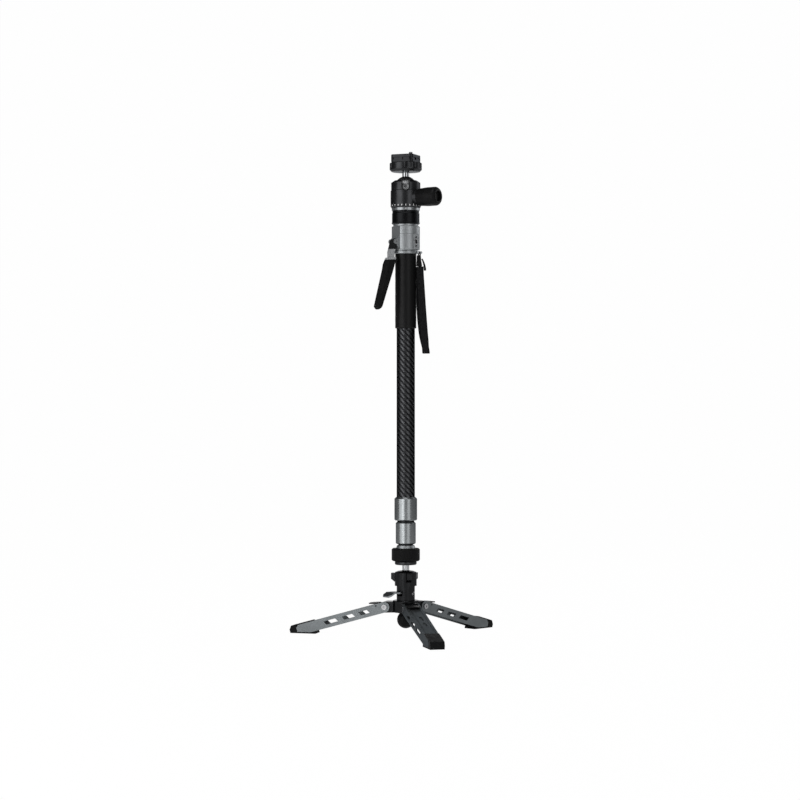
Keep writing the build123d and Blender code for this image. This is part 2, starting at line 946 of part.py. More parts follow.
def make_lock_cage(tube_top, tube_radius, wall, guide_radius, bore):
    """The plug in a tube's top, with a cage above it that holds the brake shoes."""
    spigot = ring(tube_radius - wall, bore, tube_top - lock_spigot_length, tube_top)
    high = tube_top + lock_cage_height
    cage = ring(guide_radius, bore, tube_top, high)
    cage -= rod(lock_cam_radius + slide_gap, tube_top + lock_cage_end, high - lock_cage_end)
    pocket = Pos(guide_radius, 0, (tube_top + high) / 2) * Box(
        2 * guide_radius, lock_shoe_width, lock_cage_height - 2 * lock_cage_end
    )
    for cut in spread(pocket, lock_shoe_count):
        cage -= cut
    return spigot + cage


def make_lock_shoes(tube_top, wall_radius):
    """Brake shoes that the cam presses out against the wall of the tube around them."""
    low = tube_top + lock_cage_end + slide_gap
    high = tube_top + lock_cage_height - lock_cage_end - slide_gap
    shoe = Pos(wall_radius, 0, (low + high) / 2) * Box(
        2 * (wall_radius - lock_cam_radius - slide_gap),
        lock_shoe_width - 2 * slide_gap,
        high - low,
    )
    shoe &= rod(wall_radius - running_gap, low, high)
    return group(*spread(shoe, lock_shoe_count))


def make_lock_cam(tube_top, socket_width, hollow_low=0.0):
    """The three-lobed cam that a hexagonal rod turns, with the next rod hung from it."""
    low = tube_top + lock_cage_end + slide_gap
    high = tube_top + lock_cage_height - lock_cage_end - slide_gap
    cam = rod(lock_cam_waist_radius, low, high)
    lobe = Pos(lock_cam_waist_radius, 0, (low + high) / 2) * Box(
        2 * lock_cam_waist_radius, lock_shoe_width / 2, high - low
    )
    lobe &= rod(lock_cam_radius, low, high)
    for shape in spread(lobe, lock_shoe_count):
        cam += shape
    if hollow_low:
        cam += hex_bar(rod_tube_width, hollow_low, low)
    bottom = hollow_low if hollow_low else low
    return cam - hex_bar(socket_width, bottom - cut_over, high + cut_over)


# Upper section


def make_grip():
    return turned(
        (tube_1_radius, grip_bottom),
        (grip_radius - grip_edge, grip_bottom),
        (grip_radius, grip_bottom + grip_edge),
        (grip_radius, grip_top),
        (tube_1_radius, grip_top),
    )


def accessory_cut():
    """The flat with one threaded hole and two locating holes on the housing's side."""
    flat = slab(
        2 * housing_radius,
        (accessory_flat_reach, accessory_height - accessory_flat_height / 2),
        (2 * housing_radius, accessory_height - accessory_flat_height / 2),
        (2 * housing_radius, accessory_height + accessory_flat_height / 2),
        (accessory_flat_reach, accessory_height + accessory_flat_height / 2),
    )
    cut = flat + side_hole(accessory_hole_radius, accessory_hole_depth, accessory_height)
    for side in (-1, 1):
        height = accessory_height + side * locating_hole_spacing / 2
        cut += side_hole(locating_hole_radius, locating_hole_depth, height)
    return around(cut, accessory_azimuth)


def side_hole(radius, depth, height):
    """A blind hole that runs in from the accessory flat."""
    length = depth + cut_over
    middle = accessory_flat_reach + cut_over - length / 2
    return Pos(middle, 0, height) * Rot(0, 90, 0) * Cylinder(radius, length)


def flat_cut(low, high):
    """What the flat behind the lever takes off the round housing."""
    cut = slab(
        4 * housing_radius,
        (housing_flat_reach, low),
        (2 * housing_radius, low),
        (2 * housing_radius, high),
        (housing_flat_reach, high),
    )
    return around(cut, housing_flat_azimuth)


def make_lever_housing():
    """The lower shell: socket for the tube, spigot in it, window and ears for the lever."""
    body = turned(
        (housing_bore_radius, housing_bottom - housing_edge),
        (housing_radius - housing_edge, housing_bottom - housing_edge),
        (housing_radius, housing_bottom),
        (housing_radius, housing_seam),
        (housing_bore_radius, housing_seam),
    )
    body += ring(
        housing_recess_radius, tube_1_radius, recess_bottom, housing_bottom - housing_edge
    )
    body -= ring(tube_1_radius, tube_1_radius - tube_1_wall, recess_bottom - cut_over, tube_1_top)
    body += ring(
        tube_1_radius - tube_1_wall,
        housing_bore_radius,
        housing_bottom - housing_spigot_length,
        housing_bottom,
    )
    body -= flat_cut(housing_bottom - cut_over, housing_seam + cut_over)
    ear_middle = (lever_arm_width + lever_ear_thickness) / 2 + turn_gap
    for side in (-1, 1):
        ear = cross_rod(lever_ear_radius, lever_ear_thickness, lever_pin_reach, lever_pin_height)
        ear += slab(
            lever_ear_thickness,
            (housing_flat_reach - turn_gap, lever_pin_height - 2 * lever_ear_radius),
            (lever_pin_reach, lever_pin_height - lever_ear_radius),
            (lever_pin_reach, lever_pin_height + lever_ear_radius),
            (housing_flat_reach - turn_gap, lever_pin_height + 2 * lever_ear_radius),
        )
        ear -= cross_rod(lever_pin_radius, 2 * housing_radius, lever_pin_reach, lever_pin_height)
        body += around(Pos(0, side * ear_middle, 0) * ear, housing_flat_azimuth)
    opening = slab(
        lever_arm_width + 2 * turn_gap,
        (housing_bore_radius / 2, lever_pin_height - lever_ear_radius),
        (2 * housing_radius, lever_pin_height - 2 * lever_ear_radius),
        (2 * housing_radius, lever_pin_height + 2 * lever_ear_radius),
        (housing_bore_radius / 2, lever_pin_height + lever_ear_radius),
    )
    body -= around(opening, housing_flat_azimuth)
    return body - accessory_cut()


def make_housing_cap():
    """The upper shell, closed on top, that the pan base screws down on."""
    edge = housing_edge / 2
    cap = turned(
        (0, housing_seam),
        (housing_radius - edge, housing_seam),
        (housing_radius, housing_seam + edge),
        (housing_radius, housing_top - housing_edge),
        (housing_radius - housing_edge, housing_top),
        (housing_neck_radius, housing_top),
        (housing_neck_radius, pan_core_bottom),
        (0, pan_core_bottom),
    )
    cap -= rod(pan_stud_radius, pan_core_bottom - pan_stud_length, pan_core_bottom)
    cap -= flat_cut(housing_seam - cut_over, housing_top)
    return cap - accessory_cut()


def make_lever_pin():
    half = lever_arm_width / 2 + lever_ear_thickness + turn_gap
    pin = cross_rod(lever_pin_radius, 2 * half, lever_pin_reach, lever_pin_height)
    return around(pin, housing_flat_azimuth)


def lever_axis_point(distance, out=0.0):
    """A (reach, height) point along the leaning sleeve, out is away from the monopod."""
    lean = math.radians(lever_lean)
    start = (lever_flange_inner + lever_flange_outer) / 2
    top = lever_pin_height - lever_flange_drop - lever_flange_height
    reach = start + distance * math.sin(lean) + out * math.cos(lean)
    return reach, top - distance * math.cos(lean) + out * math.sin(lean)


def make_lever():
    """Pivot boss, nose that lifts the plunger, arm, flange and the core of the sleeve."""
    flange_top = lever_pin_height - lever_flange_drop
    flange_bottom = flange_top - lever_flange_height
    nose = lever_nose_thickness / 2
    boss = cross_rod(lever_hub_radius, lever_arm_width, lever_pin_reach, lever_pin_height)
    boss += slab(
        lever_arm_width / 2,
        (lever_nose_reach, lever_pin_height - nose),
        (lever_pin_reach, lever_pin_height - nose),
        (lever_pin_reach, lever_pin_height + nose),
        (lever_nose_reach, lever_pin_height + nose),
    )
    arm = slab(
        lever_arm_width,
        (lever_pin_reach - lever_hub_radius / 2, lever_pin_height - lever_hub_radius),
        (lever_arm_inner, flange_top + lever_flange_drop / 3),
        (lever_arm_inner, flange_top),
        (lever_arm_outer, flange_top),
        (lever_arm_outer, flange_top + lever_flange_drop / 3),
        (lever_pin_reach + lever_hub_radius, lever_pin_height),
    )
    flange = slab(
        lever_flange_width,
        (lever_flange_inner, flange_bottom),
        (lever_flange_outer, flange_bottom),
        (lever_flange_outer - lever_flange_height / 2, flange_top),
        (lever_flange_inner, flange_top),
    )
    half = lever_core_thickness / 2
    core_end = sleeve_length - sleeve_tip_round
    core = slab(
        lever_core_width,
        lever_axis_point(0, -half),
        lever_axis_point(0, half),
        lever_axis_point(core_end, half),
        lever_axis_point(core_end, -half),
    )
    top_fill = slab(
        lever_core_width,
        (lever_axis_point(0)[0] - half, flange_bottom),
        (lever_axis_point(0)[0] + half, flange_bottom),
        lever_axis_point(half, half),
        lever_axis_point(half, -half),
    )
    lever = boss + arm + flange + core + top_fill
    lever -= cross_rod(
        lever_pin_radius + running_gap, 2 * lever_arm_width, lever_pin_reach, lever_pin_height
    )
    return around(lever, housing_flat_azimuth)


def make_sleeve():
    """The rubber sleeve: a leaning, tapering handle with a shoulder near its top."""
    root, tip = sleeve_root_thickness / 2, sleeve_tip_thickness / 2
    flange_bottom = lever_pin_height - lever_flange_drop - lever_flange_height
    shoulder = sleeve_shoulder_drop
    side = make_face(
        Polyline(
            (lever_flange_inner, 0, flange_bottom),
            (lever_flange_outer, 0, flange_bottom),
            point_3d(lever_axis_point(shoulder / 2, root + sleeve_shoulder_out / 3)),
            point_3d(lever_axis_point(shoulder, root)),
            point_3d(lever_axis_point(sleeve_length - tip, tip)),
            point_3d(lever_axis_point(sleeve_length, tip / 3)),
            point_3d(lever_axis_point(sleeve_length, -tip / 3)),
            point_3d(lever_axis_point(sleeve_length - tip, -tip)),
            point_3d(lever_axis_point(shoulder, -root)),
            close=True,
        )
    )
    body = extrude(side, amount=sleeve_root_width / 2, dir=(0, 1, 0), both=True)
    wide, narrow = sleeve_root_width / 2, sleeve_tip_width / 2
    low = lever_axis_point(sleeve_length)[1]
    front = make_face(
        Polyline(
            (0, -wide, flange_bottom + cut_over),
            (0, -narrow, low + sleeve_tip_round),
            (0, -narrow + sleeve_tip_round, low - cut_over),
            (0, narrow - sleeve_tip_round, low - cut_over),
            (0, narrow, low + sleeve_tip_round),
            (0, wide, flange_bottom + cut_over),
            close=True,
        )
    )
    body &= extrude(front, amount=4 * lever_flange_outer, dir=(1, 0, 0))
    return around(body, housing_flat_azimuth) - make_lever()


def point_3d(point):
    """A (reach, height) pair as a point in the XZ plane."""
    return point[0], 0, point[1]


def make_plunger():
    """The grooved slider that the lever's nose lifts to turn the release rod."""
    low = lever_pin_height - plunger_height / 2
    groove = plunger_groove_height / 2
    return turned(
        (plunger_bore_radius, low),
        (plunger_radius, low),
        (plunger_radius, lever_pin_height - groove),
        (plunger_groove_radius, lever_pin_height - groove),
        (plunger_groove_radius, lever_pin_height + groove),
        (plunger_radius, lever_pin_height + groove),
        (plunger_radius, low + plunger_height),
        (plunger_bore_radius, low + plunger_height),
    )


def make_release_rod():
    high = housing_seam - slide_gap
    head = rod(rod_head_radius, high - rod_head_height, high)
    return head + hex_bar(rod_width, rod_bottom, high)


# Wrist strap


def make_strap_ring():
    body = ring(
        strap_ring_radius, tube_1_radius + slide_gap, strap_ring_bottom, strap_ring_top,
        strap_ring_edge,
    )
    start = tube_1_radius + strap_ring_edge
    corner = strap_lug_reach - strap_lug_round
    lug = slab(
        strap_lug_width,
        (start, strap_ring_bottom),
        (corner, strap_ring_bottom),
        (strap_lug_reach, strap_ring_bottom + strap_lug_round / 2),
        (strap_lug_reach, strap_ring_top - strap_lug_round / 2),
        (corner, strap_ring_top),
        (start, strap_ring_top),
    )
    middle = (strap_ring_bottom + strap_ring_top) / 2
    hole = cross_rod(strap_lug_hole_radius, 2 * strap_lug_width, strap_lug_hole_reach, middle)
    return around(body + lug - hole, strap_azimuth)


def make_strap_webbing():
    """Two plies of flat webbing that hang from a tack and meet in a fold at the bottom."""
    high = strap_ring_bottom - strap_top_drop
    low = high - strap_length
    mid = high - strap_mid_share * strap_length
    knee = high - strap_low_share * strap_length
    inner = Spline(
        (strap_top_inner, 0, high),
        (strap_mid_inner, 0, mid),
        (strap_low_inner, 0, knee),
        (strap_end_inner, 0, low),
    )
    outer = Spline(
        (strap_top_outer, 0, high),
        (strap_mid_outer, 0, mid),
        (strap_low_outer, 0, knee),
        (strap_end_outer, 0, low),
    )
    top = Line(inner @ 0, outer @ 0)
    bottom = Line(inner @ 1, outer @ 1)
    front = extrude(
        make_face([inner, outer, top, bottom]), amount=strap_end_outer, dir=(0, 1, 0), both=True
    )
    half = strap_ply_gap / 2
    full = half + strap_thickness
    fold = low + full
    tack = high - 2 * full
    outline = make_face(
        [
            Polyline((0, -full / 2, high), (0, -full, tack), (0, -full, fold)),
            ThreePointArc((0, -full, fold), (0, 0, low), (0, full, fold)),
            Polyline((0, full, fold), (0, full, tack), (0, full / 2, high), (0, -full / 2, high)),
        ]
    )
    between = make_face(
        [
            Polyline((0, 0, tack - strap_spread), (0, -half, tack - 2 * strap_spread), (0, -half, fold)),
            ThreePointArc((0, -half, fold), (0, 0, low + strap_thickness), (0, half, fold)),
            Polyline((0, half, fold), (0, half, tack - 2 * strap_spread), (0, 0, tack - strap_spread)),
        ]
    )
    plies = extrude(outline - between, amount=4 * strap_lug_reach, dir=(1, 0, 0))
    return around(plies & front, strap_azimuth)


def make_strap_cord():
    """A thin cord that runs through the lug's eye, its two ends tacked to the webbing."""
    middle = (strap_ring_bottom + strap_ring_top) / 2
    side = strap_lug_width / 2 + strap_cord_turn_radius + turn_gap
    tack = strap_ring_bottom - strap_top_drop + strap_cord_radius
    foot = (strap_top_inner + strap_top_outer) / 2
    knot = tack + strap_knot_rise
    down = strap_ring_bottom - strap_knot_rise / 2
    points = (
        (foot - strap_cord_radius, -2 * strap_cord_radius, tack),
        (foot + strap_cord_radius / 2, -2 * strap_cord_radius, knot),
        (strap_lug_hole_reach + strap_cord_radius / 2, -side, down),
        (strap_lug_hole_reach, -side, middle),
        (strap_lug_hole_reach, side, middle),
        (strap_lug_hole_reach - strap_cord_spread, side, down),
        (foot + strap_cord_radius / 2, 2 * strap_cord_radius, knot),
        (foot + 2 * strap_cord_radius, 2 * strap_cord_radius, tack),
    )
    radii = bend_radii(points)
    path = FilletPolyline(*points, radius=radii)
    wire = Wire(path.edges())
    start = Plane(origin=wire @ 0, z_dir=wire % 0)
    return around(sweep(start * Circle(strap_cord_radius), path=wire), strap_azimuth)


def bend_radii(points):
    """Radii that nearly fill the shorter straight run beside each gentle corner."""
    radii = []
    for before, corner, after in zip(points, points[1:], points[2:]):
        into = Vector(*corner) - Vector(*before)
        out = Vector(*after) - Vector(*corner)
        turn = math.radians(into.get_angle(out))
        shorter = min(into.length, out.length)
        full = bend_fill_share * shorter / math.tan(turn / 2)
        sharp = turn > math.radians(strap_cord_sharp_turn)
        radii.append(strap_cord_turn_radius if sharp else full)
    print("cord bend radii", [round(r, 2) for r in radii])
    return radii


def make_strap_tab():
    """The keeper, a curved flap that stands out beside the cord."""
    high = strap_ring_bottom - strap_tab_drop
    foot = (strap_top_inner + strap_top_outer) / 2
    start = foot + strap_tab_clear_share * strap_cord_radius + slide_gap
    low = high - strap_tab_height
    end = start + strap_tab_reach
    knee = high - strap_tab_height / 4
    belly = start + strap_tab_belly_share * strap_tab_reach
    outer = Spline((start, 0, high), (belly, 0, knee), (end, 0, low))
    inner = Spline(
        (start, 0, high - strap_tab_thickness),
        (belly - strap_tab_thickness, 0, knee - strap_tab_thickness),
        (end - strap_tab_thickness, 0, low),
    )
    face = make_face([outer, inner, Line(outer @ 0, inner @ 0), Line(outer @ 1, inner @ 1)])
    return around(extrude(face, amount=strap_tab_width / 2, dir=(0, 1, 0), both=True), strap_azimuth)


# Pan base and ball head


def make_pan_base():
    return turned(
        (0, pan_core_bottom - pan_stud_length),
        (pan_stud_radius, pan_core_bottom - pan_stud_length),
        (pan_stud_radius, pan_core_bottom),
        (pan_core_radius, pan_core_bottom),
        (pan_core_radius, pan_groove_bottom),
        (pan_groove_radius, pan_groove_bottom),
        (pan_groove_radius, pan_ring_bottom),
        (pan_ring_radius, pan_ring_bottom),
        (pan_ring_radius, pan_ring_top),
        (pan_spindle_radius, pan_ring_top),
        (pan_spindle_radius, pan_ring_top + pan_spindle_height),
        (0, pan_ring_top + pan_spindle_height),
    )


def make_pan_lock_ring():
    low = pan_core_bottom + turn_gap
    high = low + pan_lock_height
    bead = low + pan_lock_bead_height
    inner = pan_core_radius + slide_gap
    return turned(
        (inner, low),
        (pan_lock_radius - pan_lock_edge, low),
        (pan_lock_radius, low + pan_lock_edge),
        (pan_lock_radius, bead),
        (pan_lock_radius - pan_lock_bead_depth, bead + pan_lock_bead_depth),
        (pan_lock_radius - pan_lock_bead_depth, high - pan_lock_edge),
        (pan_lock_radius - pan_lock_edge, high),
        (inner, high),
    )


def make_head_body():
    step = head_bottom + head_step_rise
    body = turned(
        (pan_spindle_radius + running_gap, head_bottom),
        (head_radius - head_foot_edge, head_bottom),
        (head_radius - head_foot_edge / 2, head_bottom + head_foot_edge),
        (head_radius, head_bottom + head_foot_rise),
        (head_radius, step),
        (head_upper_radius, step + head_step_height),
        (head_upper_radius, head_top - head_top_bevel_height),
        (head_top_radius, head_top),
        (0, head_top),
        (0, ball_height),
        (pan_spindle_radius + running_gap, ball_height),
    )
    boss = Pos((boss_reach + head_radius / 2) / 2, 0, knob_height) * Rot(0, 90, 0) * Cylinder(
        boss_radius, boss_reach - head_radius / 2
    )
    body += around(boss, knob_azimuth)
    body -= Pos(0, 0, ball_height) * Sphere(ball_radius + ball_gap)
    body -= rod(seat_radius + slide_gap, ball_height - seat_below_ball, ball_height)
    body -= rod(pan_spindle_radius + running_gap, head_bottom - cut_over, pan_ring_top + pan_spindle_height + turn_gap)
    notch = slab(
        notch_width,
        (0, ball_height - notch_drop),
        (2 * head_radius, ball_height - notch_drop),
        (2 * head_radius, head_top + cut_over),
        (0, head_top + cut_over),
    )
    round_bottom = Pos(head_radius, 0, ball_height - notch_drop) * Rot(0, 90, 0) * Cylinder(
        notch_width / 2, 2 * head_radius
    )
    body -= around(notch + round_bottom, notch_azimuth)
    screw_bore = Pos(head_radius, 0, knob_height) * Rot(0, 90, 0) * Cylinder(
        knob_screw_radius + running_gap, 2 * head_radius
    )
    return body - around(screw_bore, knob_azimuth)


def make_ball_seat():
    low = ball_height - seat_below_ball + slide_gap
    seat = rod(seat_radius, low, low + seat_height)
    return seat - Pos(0, 0, ball_height) * Sphere(ball_radius + running_gap)


def make_lock_knob():
    """The knob with its screw, turned about the line that runs out from the head."""
    start = boss_reach + turn_gap
    length = knob_reach - start
    flare = start + knob_flare_share * length
    tip = seat_radius + slide_gap + turn_gap
    outline = make_face(
        [
            Polyline(
                (knob_screw_radius, 0, start),
                (knob_root_radius - turn_gap, 0, start),
                (knob_root_radius, 0, start + 2 * turn_gap),
                (knob_radius, 0, flare),
                (knob_radius, 0, knob_reach - knob_end_round),
            ),
            ThreePointArc(
                (knob_radius, 0, knob_reach - knob_end_round),
                (
                    knob_radius - knob_end_round * (1 - math.cos(math.pi / 4)),
                    0,
                    knob_reach - knob_end_round * (1 - math.sin(math.pi / 4)),
                ),
                (knob_radius - knob_end_round, 0, knob_reach),
            ),
            Polyline(
                (knob_radius - knob_end_round, 0, knob_reach),
                (knob_recess_radius, 0, knob_reach),
                (knob_recess_radius - turn_gap, 0, knob_reach - knob_recess_depth),
                (0, 0, knob_reach - knob_recess_depth),
                (0, 0, tip),
                (knob_screw_radius, 0, tip),
                (knob_screw_radius, 0, start),
            ),
        ]
    )
    knob = revolve(outline, Axis.Z)
    return around(Pos(0, 0, knob_height) * Rot(0, 90, 0) * knob, knob_azimuth)


def make_head_ball():
    flat = ball_height + math.sqrt(ball_radius**2 - ball_stem_radius**2)
    ball = Pos(0, 0, ball_height) * Sphere(ball_radius)
    ball -= rod(ball_stem_radius, flat, flat + ball_radius)
    return ball - rod(ball_stem_root_radius, flat - ball_stem_root_length, flat + ball_radius)


def make_ball_stem():
    flat = ball_height + math.sqrt(ball_radius**2 - ball_stem_radius**2)
    stem = rod(ball_stem_root_radius, flat - ball_stem_root_length, flat)
    stem += rod(ball_stem_radius, flat, clamp_bottom - slide_gap)
    top = clamp_bottom + clamp_spigot_length
    return stem + rod(clamp_spigot_radius, clamp_bottom - slide_gap, top)


# Quick-release clamp, plate and screw


def square_block(size, corner, low, high):
    """An upright block with a rounded square outline, turned as the plate is."""
    flat = RectangleRounded(size, size, corner)
    return Pos(0, 0, low) * Rot(0, 0, plate_azimuth) * extrude(flat, amount=high - low)


def make_clamp_base():
    bore = clamp_spigot_radius + running_gap
    flange_bottom = clamp_top - clamp_flange_height
    base = turned(
        (0, clamp_bottom),
        (clamp_core_radius, clamp_bottom),
        (clamp_core_radius, flange_bottom),
        (clamp_flange_radius, flange_bottom),
        (clamp_flange_radius, clamp_top),
        (0, clamp_top),
    )
    base -= rod(bore, clamp_bottom - cut_over, clamp_bottom + clamp_spigot_length + turn_gap)
    socket = square_block(
        plate_foot_size + 2 * slide_gap,
        plate_foot_corner,
        clamp_top - plate_foot_height,
        clamp_top + cut_over,
    )
    return base - socket


def make_clamp_ring():
    low = clamp_bottom + turn_gap
    high = low + lock_ring_height
    step = clamp_top - clamp_flange_height - turn_gap
    inner = clamp_core_radius + slide_gap
    wide = clamp_flange_radius + slide_gap
    body = turned(
        (inner, low),
        (lock_ring_radius - lock_ring_bottom_edge, low),
        (lock_ring_radius, low + lock_ring_bottom_edge),
        (lock_ring_radius, high - lock_ring_top_edge),
        (lock_ring_radius - lock_ring_top_edge, high),
        (wide, high),
        (wide, step),
        (inner, step),
    )
    flute_low = low + lock_ring_bottom_edge + flute_margin
    reach = lock_ring_radius + flute_radius - flute_depth
    flute = rod(flute_radius, flute_low, high + cut_over, reach)
    half = (flute_count - 1) / 2
    for zone in range(flute_zone_count):
        middle = flute_zone_azimuth + zone * 360 / flute_zone_count
        for k in range(flute_count):
            body -= around(flute, middle + (k - half) * flute_pitch_angle)
    return body


def make_camera_plate():
    body = square_block(plate_size, plate_corner, plate_bottom, plate_top)
    body = chamfer(body.faces().sort_by(Axis.Z)[-1].edges(), plate_edge)
    band_low = plate_bottom + plate_band_rise
    band = square_block(plate_size + 2 * cut_over, plate_corner, band_low, band_low + plate_band_height)
    band -= square_block(
        plate_size - 2 * plate_band_depth,
        plate_corner,
        band_low - cut_over,
        band_low + plate_band_height + cut_over,
    )
    rib = Box(plate_rib_width, 2 * plate_size, plate_band_height)
    middle = band_low + plate_band_height / 2
    for quarter in range(2):
        band -= Pos(0, 0, middle) * Rot(0, 0, plate_azimuth + 90 * quarter + 45) * rib
        band -= Pos(0, 0, middle) * Rot(0, 0, plate_azimuth + 90 * quarter) * rib
    body -= band
    foot_low = clamp_top - plate_foot_height + slide_gap
    body += square_block(plate_foot_size, plate_foot_corner, foot_low, plate_bottom)
    roof = plate_top - plate_roof
    pocket_width = 2 * (screw_head_radius + screw_pocket_play)
    pocket_length = 2 * (screw_offset + screw_head_radius + screw_pocket_play)
    pocket = extrude(SlotOverall(pocket_length, pocket_width), amount=roof - foot_low + cut_over)
    body -= Pos(0, 0, foot_low - cut_over) * Rot(0, 0, plate_azimuth) * pocket
    slot_width = 2 * (screw_radius + screw_slot_play)
    slot_length = 2 * screw_offset + slot_width
    slot = extrude(SlotOverall(slot_length, slot_width), amount=plate_height)
    return body - Pos(0, 0, roof - cut_over) * Rot(0, 0, plate_azimuth) * slot


def at_screw(shape):
    """Puts a piece drawn on the axis at the camera screw's place in its slot."""
    return around(Pos(screw_offset, 0, 0) * shape, plate_azimuth)


def make_camera_screw():
    head_low = screw_head_top - screw_head_height
    screw = rod(screw_head_radius, head_low, screw_head_top)
    coin = Box(3 * screw_head_radius, screw_coin_slot_width, screw_coin_slot_width)
    screw -= Pos(0, 0, head_low) * coin
    high = plate_top + screw_stand
    edge = screw_radius / 4
    shaft = turned(
        (0, screw_head_top),
        (screw_shank_radius, screw_head_top),
        (screw_shank_radius, plate_top + slide_gap),
        (screw_radius, plate_top + slide_gap),
        (screw_radius, high - edge),
        (screw_radius - edge, high),
        (0, high),
    )
    return at_screw(screw + shaft)


def make_screw_clip():
    low = screw_head_top + slide_gap
    clip = ring(
        screw_head_radius, screw_shank_radius + running_gap, low, low + screw_clip_thickness
    )
    return at_screw(clip)


# Radii at which the inner cages slide, and the hole that the hollow rod passes through
cage_1_guide = tube_1_radius - tube_1_wall - slide_gap
cage_2_guide = tube_2_radius - tube_2_wall - slide_gap
rod_tube_bore = rod_tube_width / math.sqrt(3) + slide_gap

pieces = {
    "leg_hub": make_hub(),
    "leg_hinge_pins": make_hinge_pins(),
    "foot_stud": make_stud(),
    "ground_foot": make_ground_foot(),
    "base_column": make_column(),
    "pedal_pin": make_pedal_pin(),
    "pedal": make_pedal(),
    "ball_lock_cup": make_ball_lock_cup(),
    "base_head": make_base_head(),
    "base_seat_ring": make_base_seat_ring(),
    "base_ball": make_base_ball(),
    "lower_flange": make_lower_flange(),
    "drag_ring": make_drag_ring(),
    "lower_fitting": make_lower_fitting(),
    "tube_3": make_tube(tube_3_radius, tube_3_wall, tube_3_bottom, tube_3_top),
    "lock_cage_3": make_lock_cage(
        tube_3_top, tube_3_radius, tube_3_wall, cage_2_guide, rod_tube_bore
    ),
    "lock_shoes_3": make_lock_shoes(tube_3_top, tube_2_radius - tube_2_wall),
    "lock_cam_3": make_lock_cam(tube_3_top, rod_tube_width + 2 * slide_gap),
    "collar_2": make_collar(
        collar_2_radius, collar_2_edge, collar_2_bottom, collar_2_top,
        tube_2_radius, tube_3_radius, collar_2_neck_height, collar_2_neck_radius,
    ),
    "bush_2": make_bush(tube_2_radius, tube_3_radius, bush_2_bottom),
    "tube_2": make_tube(tube_2_radius, tube_2_wall, tube_2_bottom, tube_2_top),
    "lock_cage_2": make_lock_cage(
        tube_2_top, tube_2_radius, tube_2_wall, cage_1_guide, rod_tube_bore
    ),
    "lock_shoes_2": make_lock_shoes(tube_2_top, tube_1_radius - tube_1_wall),
    "lock_cam_2": make_lock_cam(
        tube_2_top, rod_width + 2 * slide_gap, rod_tube_bottom
    ),
    "collar_1": make_collar(
        collar_1_radius, collar_1_edge, collar_1_bottom, collar_1_top,
        tube_1_radius, tube_2_radius,
    ),
    "bush_1": make_bush(tube_1_radius, tube_2_radius, bush_1_bottom),
    "tube_1": make_tube(tube_1_radius, tube_1_wall, tube_1_bottom, tube_1_top),
    "foam_grip": make_grip(),
    "strap_ring": make_strap_ring(),
    "strap_cord": make_strap_cord(),
    "strap_tab": make_strap_tab(),
    "strap_webbing": make_strap_webbing(),
    "lever_housing": make_lever_housing(),
    "housing_cap": make_housing_cap(),
    "lever_pin": make_lever_pin(),
    "lever": make_lever(),
    "lever_sleeve": make_sleeve(),
    "release_plunger": make_plunger(),
    "release_rod": make_release_rod(),
    "pan_base": make_pan_base(),
    "pan_lock_ring": make_pan_lock_ring(),
    "head_body": make_head_body(),
    "ball_seat": make_ball_seat(),
    "lock_knob": make_lock_knob(),
    "head_ball": make_head_ball(),
    "ball_stem": make_ball_stem(),
    "clamp_base": make_clamp_base(),
    "clamp_ring": make_clamp_ring(),
    "camera_plate": make_camera_plate(),
    "screw_clip": make_screw_clip(),
    "camera_screw": make_camera_screw(),
}
for k in range(leg_count):
    pieces[f"leg_{k + 1}"] = on_leg(make_leg(), k)
    pieces[f"leg_shoe_{k + 1}"] = on_leg(make_shoe(), k)
    pieces[f"leg_latch_{k + 1}"] = on_leg(make_latch(), k)

os.makedirs("parts", exist_ok=True)
for name, piece in pieces.items():
    export_step(piece, f"parts/{name}.step")
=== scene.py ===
import json
import math

import bmesh
import bpy
from bpy.props import (
    FloatProperty,
    FloatVectorProperty,
    IntProperty,
    PointerProperty,
)
from mathutils import Matrix, Vector


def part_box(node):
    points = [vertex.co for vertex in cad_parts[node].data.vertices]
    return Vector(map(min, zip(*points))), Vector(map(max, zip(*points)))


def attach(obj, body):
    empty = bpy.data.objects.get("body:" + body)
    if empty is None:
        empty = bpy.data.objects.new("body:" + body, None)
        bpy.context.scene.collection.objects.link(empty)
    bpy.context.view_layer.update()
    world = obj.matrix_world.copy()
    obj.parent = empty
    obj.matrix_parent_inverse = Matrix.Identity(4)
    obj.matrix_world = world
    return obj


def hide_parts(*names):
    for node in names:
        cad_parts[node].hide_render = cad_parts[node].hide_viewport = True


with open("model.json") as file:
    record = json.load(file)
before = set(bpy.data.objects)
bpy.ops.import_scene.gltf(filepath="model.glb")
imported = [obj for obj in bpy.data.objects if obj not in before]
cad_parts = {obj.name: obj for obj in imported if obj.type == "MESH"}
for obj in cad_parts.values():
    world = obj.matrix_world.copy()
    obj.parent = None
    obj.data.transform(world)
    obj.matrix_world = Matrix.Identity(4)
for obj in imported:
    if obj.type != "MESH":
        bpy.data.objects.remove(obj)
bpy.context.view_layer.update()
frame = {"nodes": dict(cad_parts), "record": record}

bl_info = {
    "name": "Camera monopod dressing",
    "version": (1, 0, 0),
    "blender": (4, 5, 0),
    "location": "3D View > Sidebar > Monopod",
    "description": "Finishes, small fittings, wrist strap and studio for a camera monopod",
    "category": "Object",
}

MM = 0.001
TAU = 2 * math.pi


def node_range(node, axis=2):
    """Lowest and highest place of a CAD piece along one axis, in metres."""
    low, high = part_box(node)
    return low[axis], high[axis]


def colour_property(name, description, default):
    """A colour that a user would change."""
    return FloatVectorProperty(
        name=name, description=description, subtype="COLOR", size=3, min=0, max=1, default=default
    )


def length_property(name, description, default):
    """A length in metres that a user would change."""
    return FloatProperty(
        name=name, description=description, default=default, min=0, unit="LENGTH"
    )


# Settings


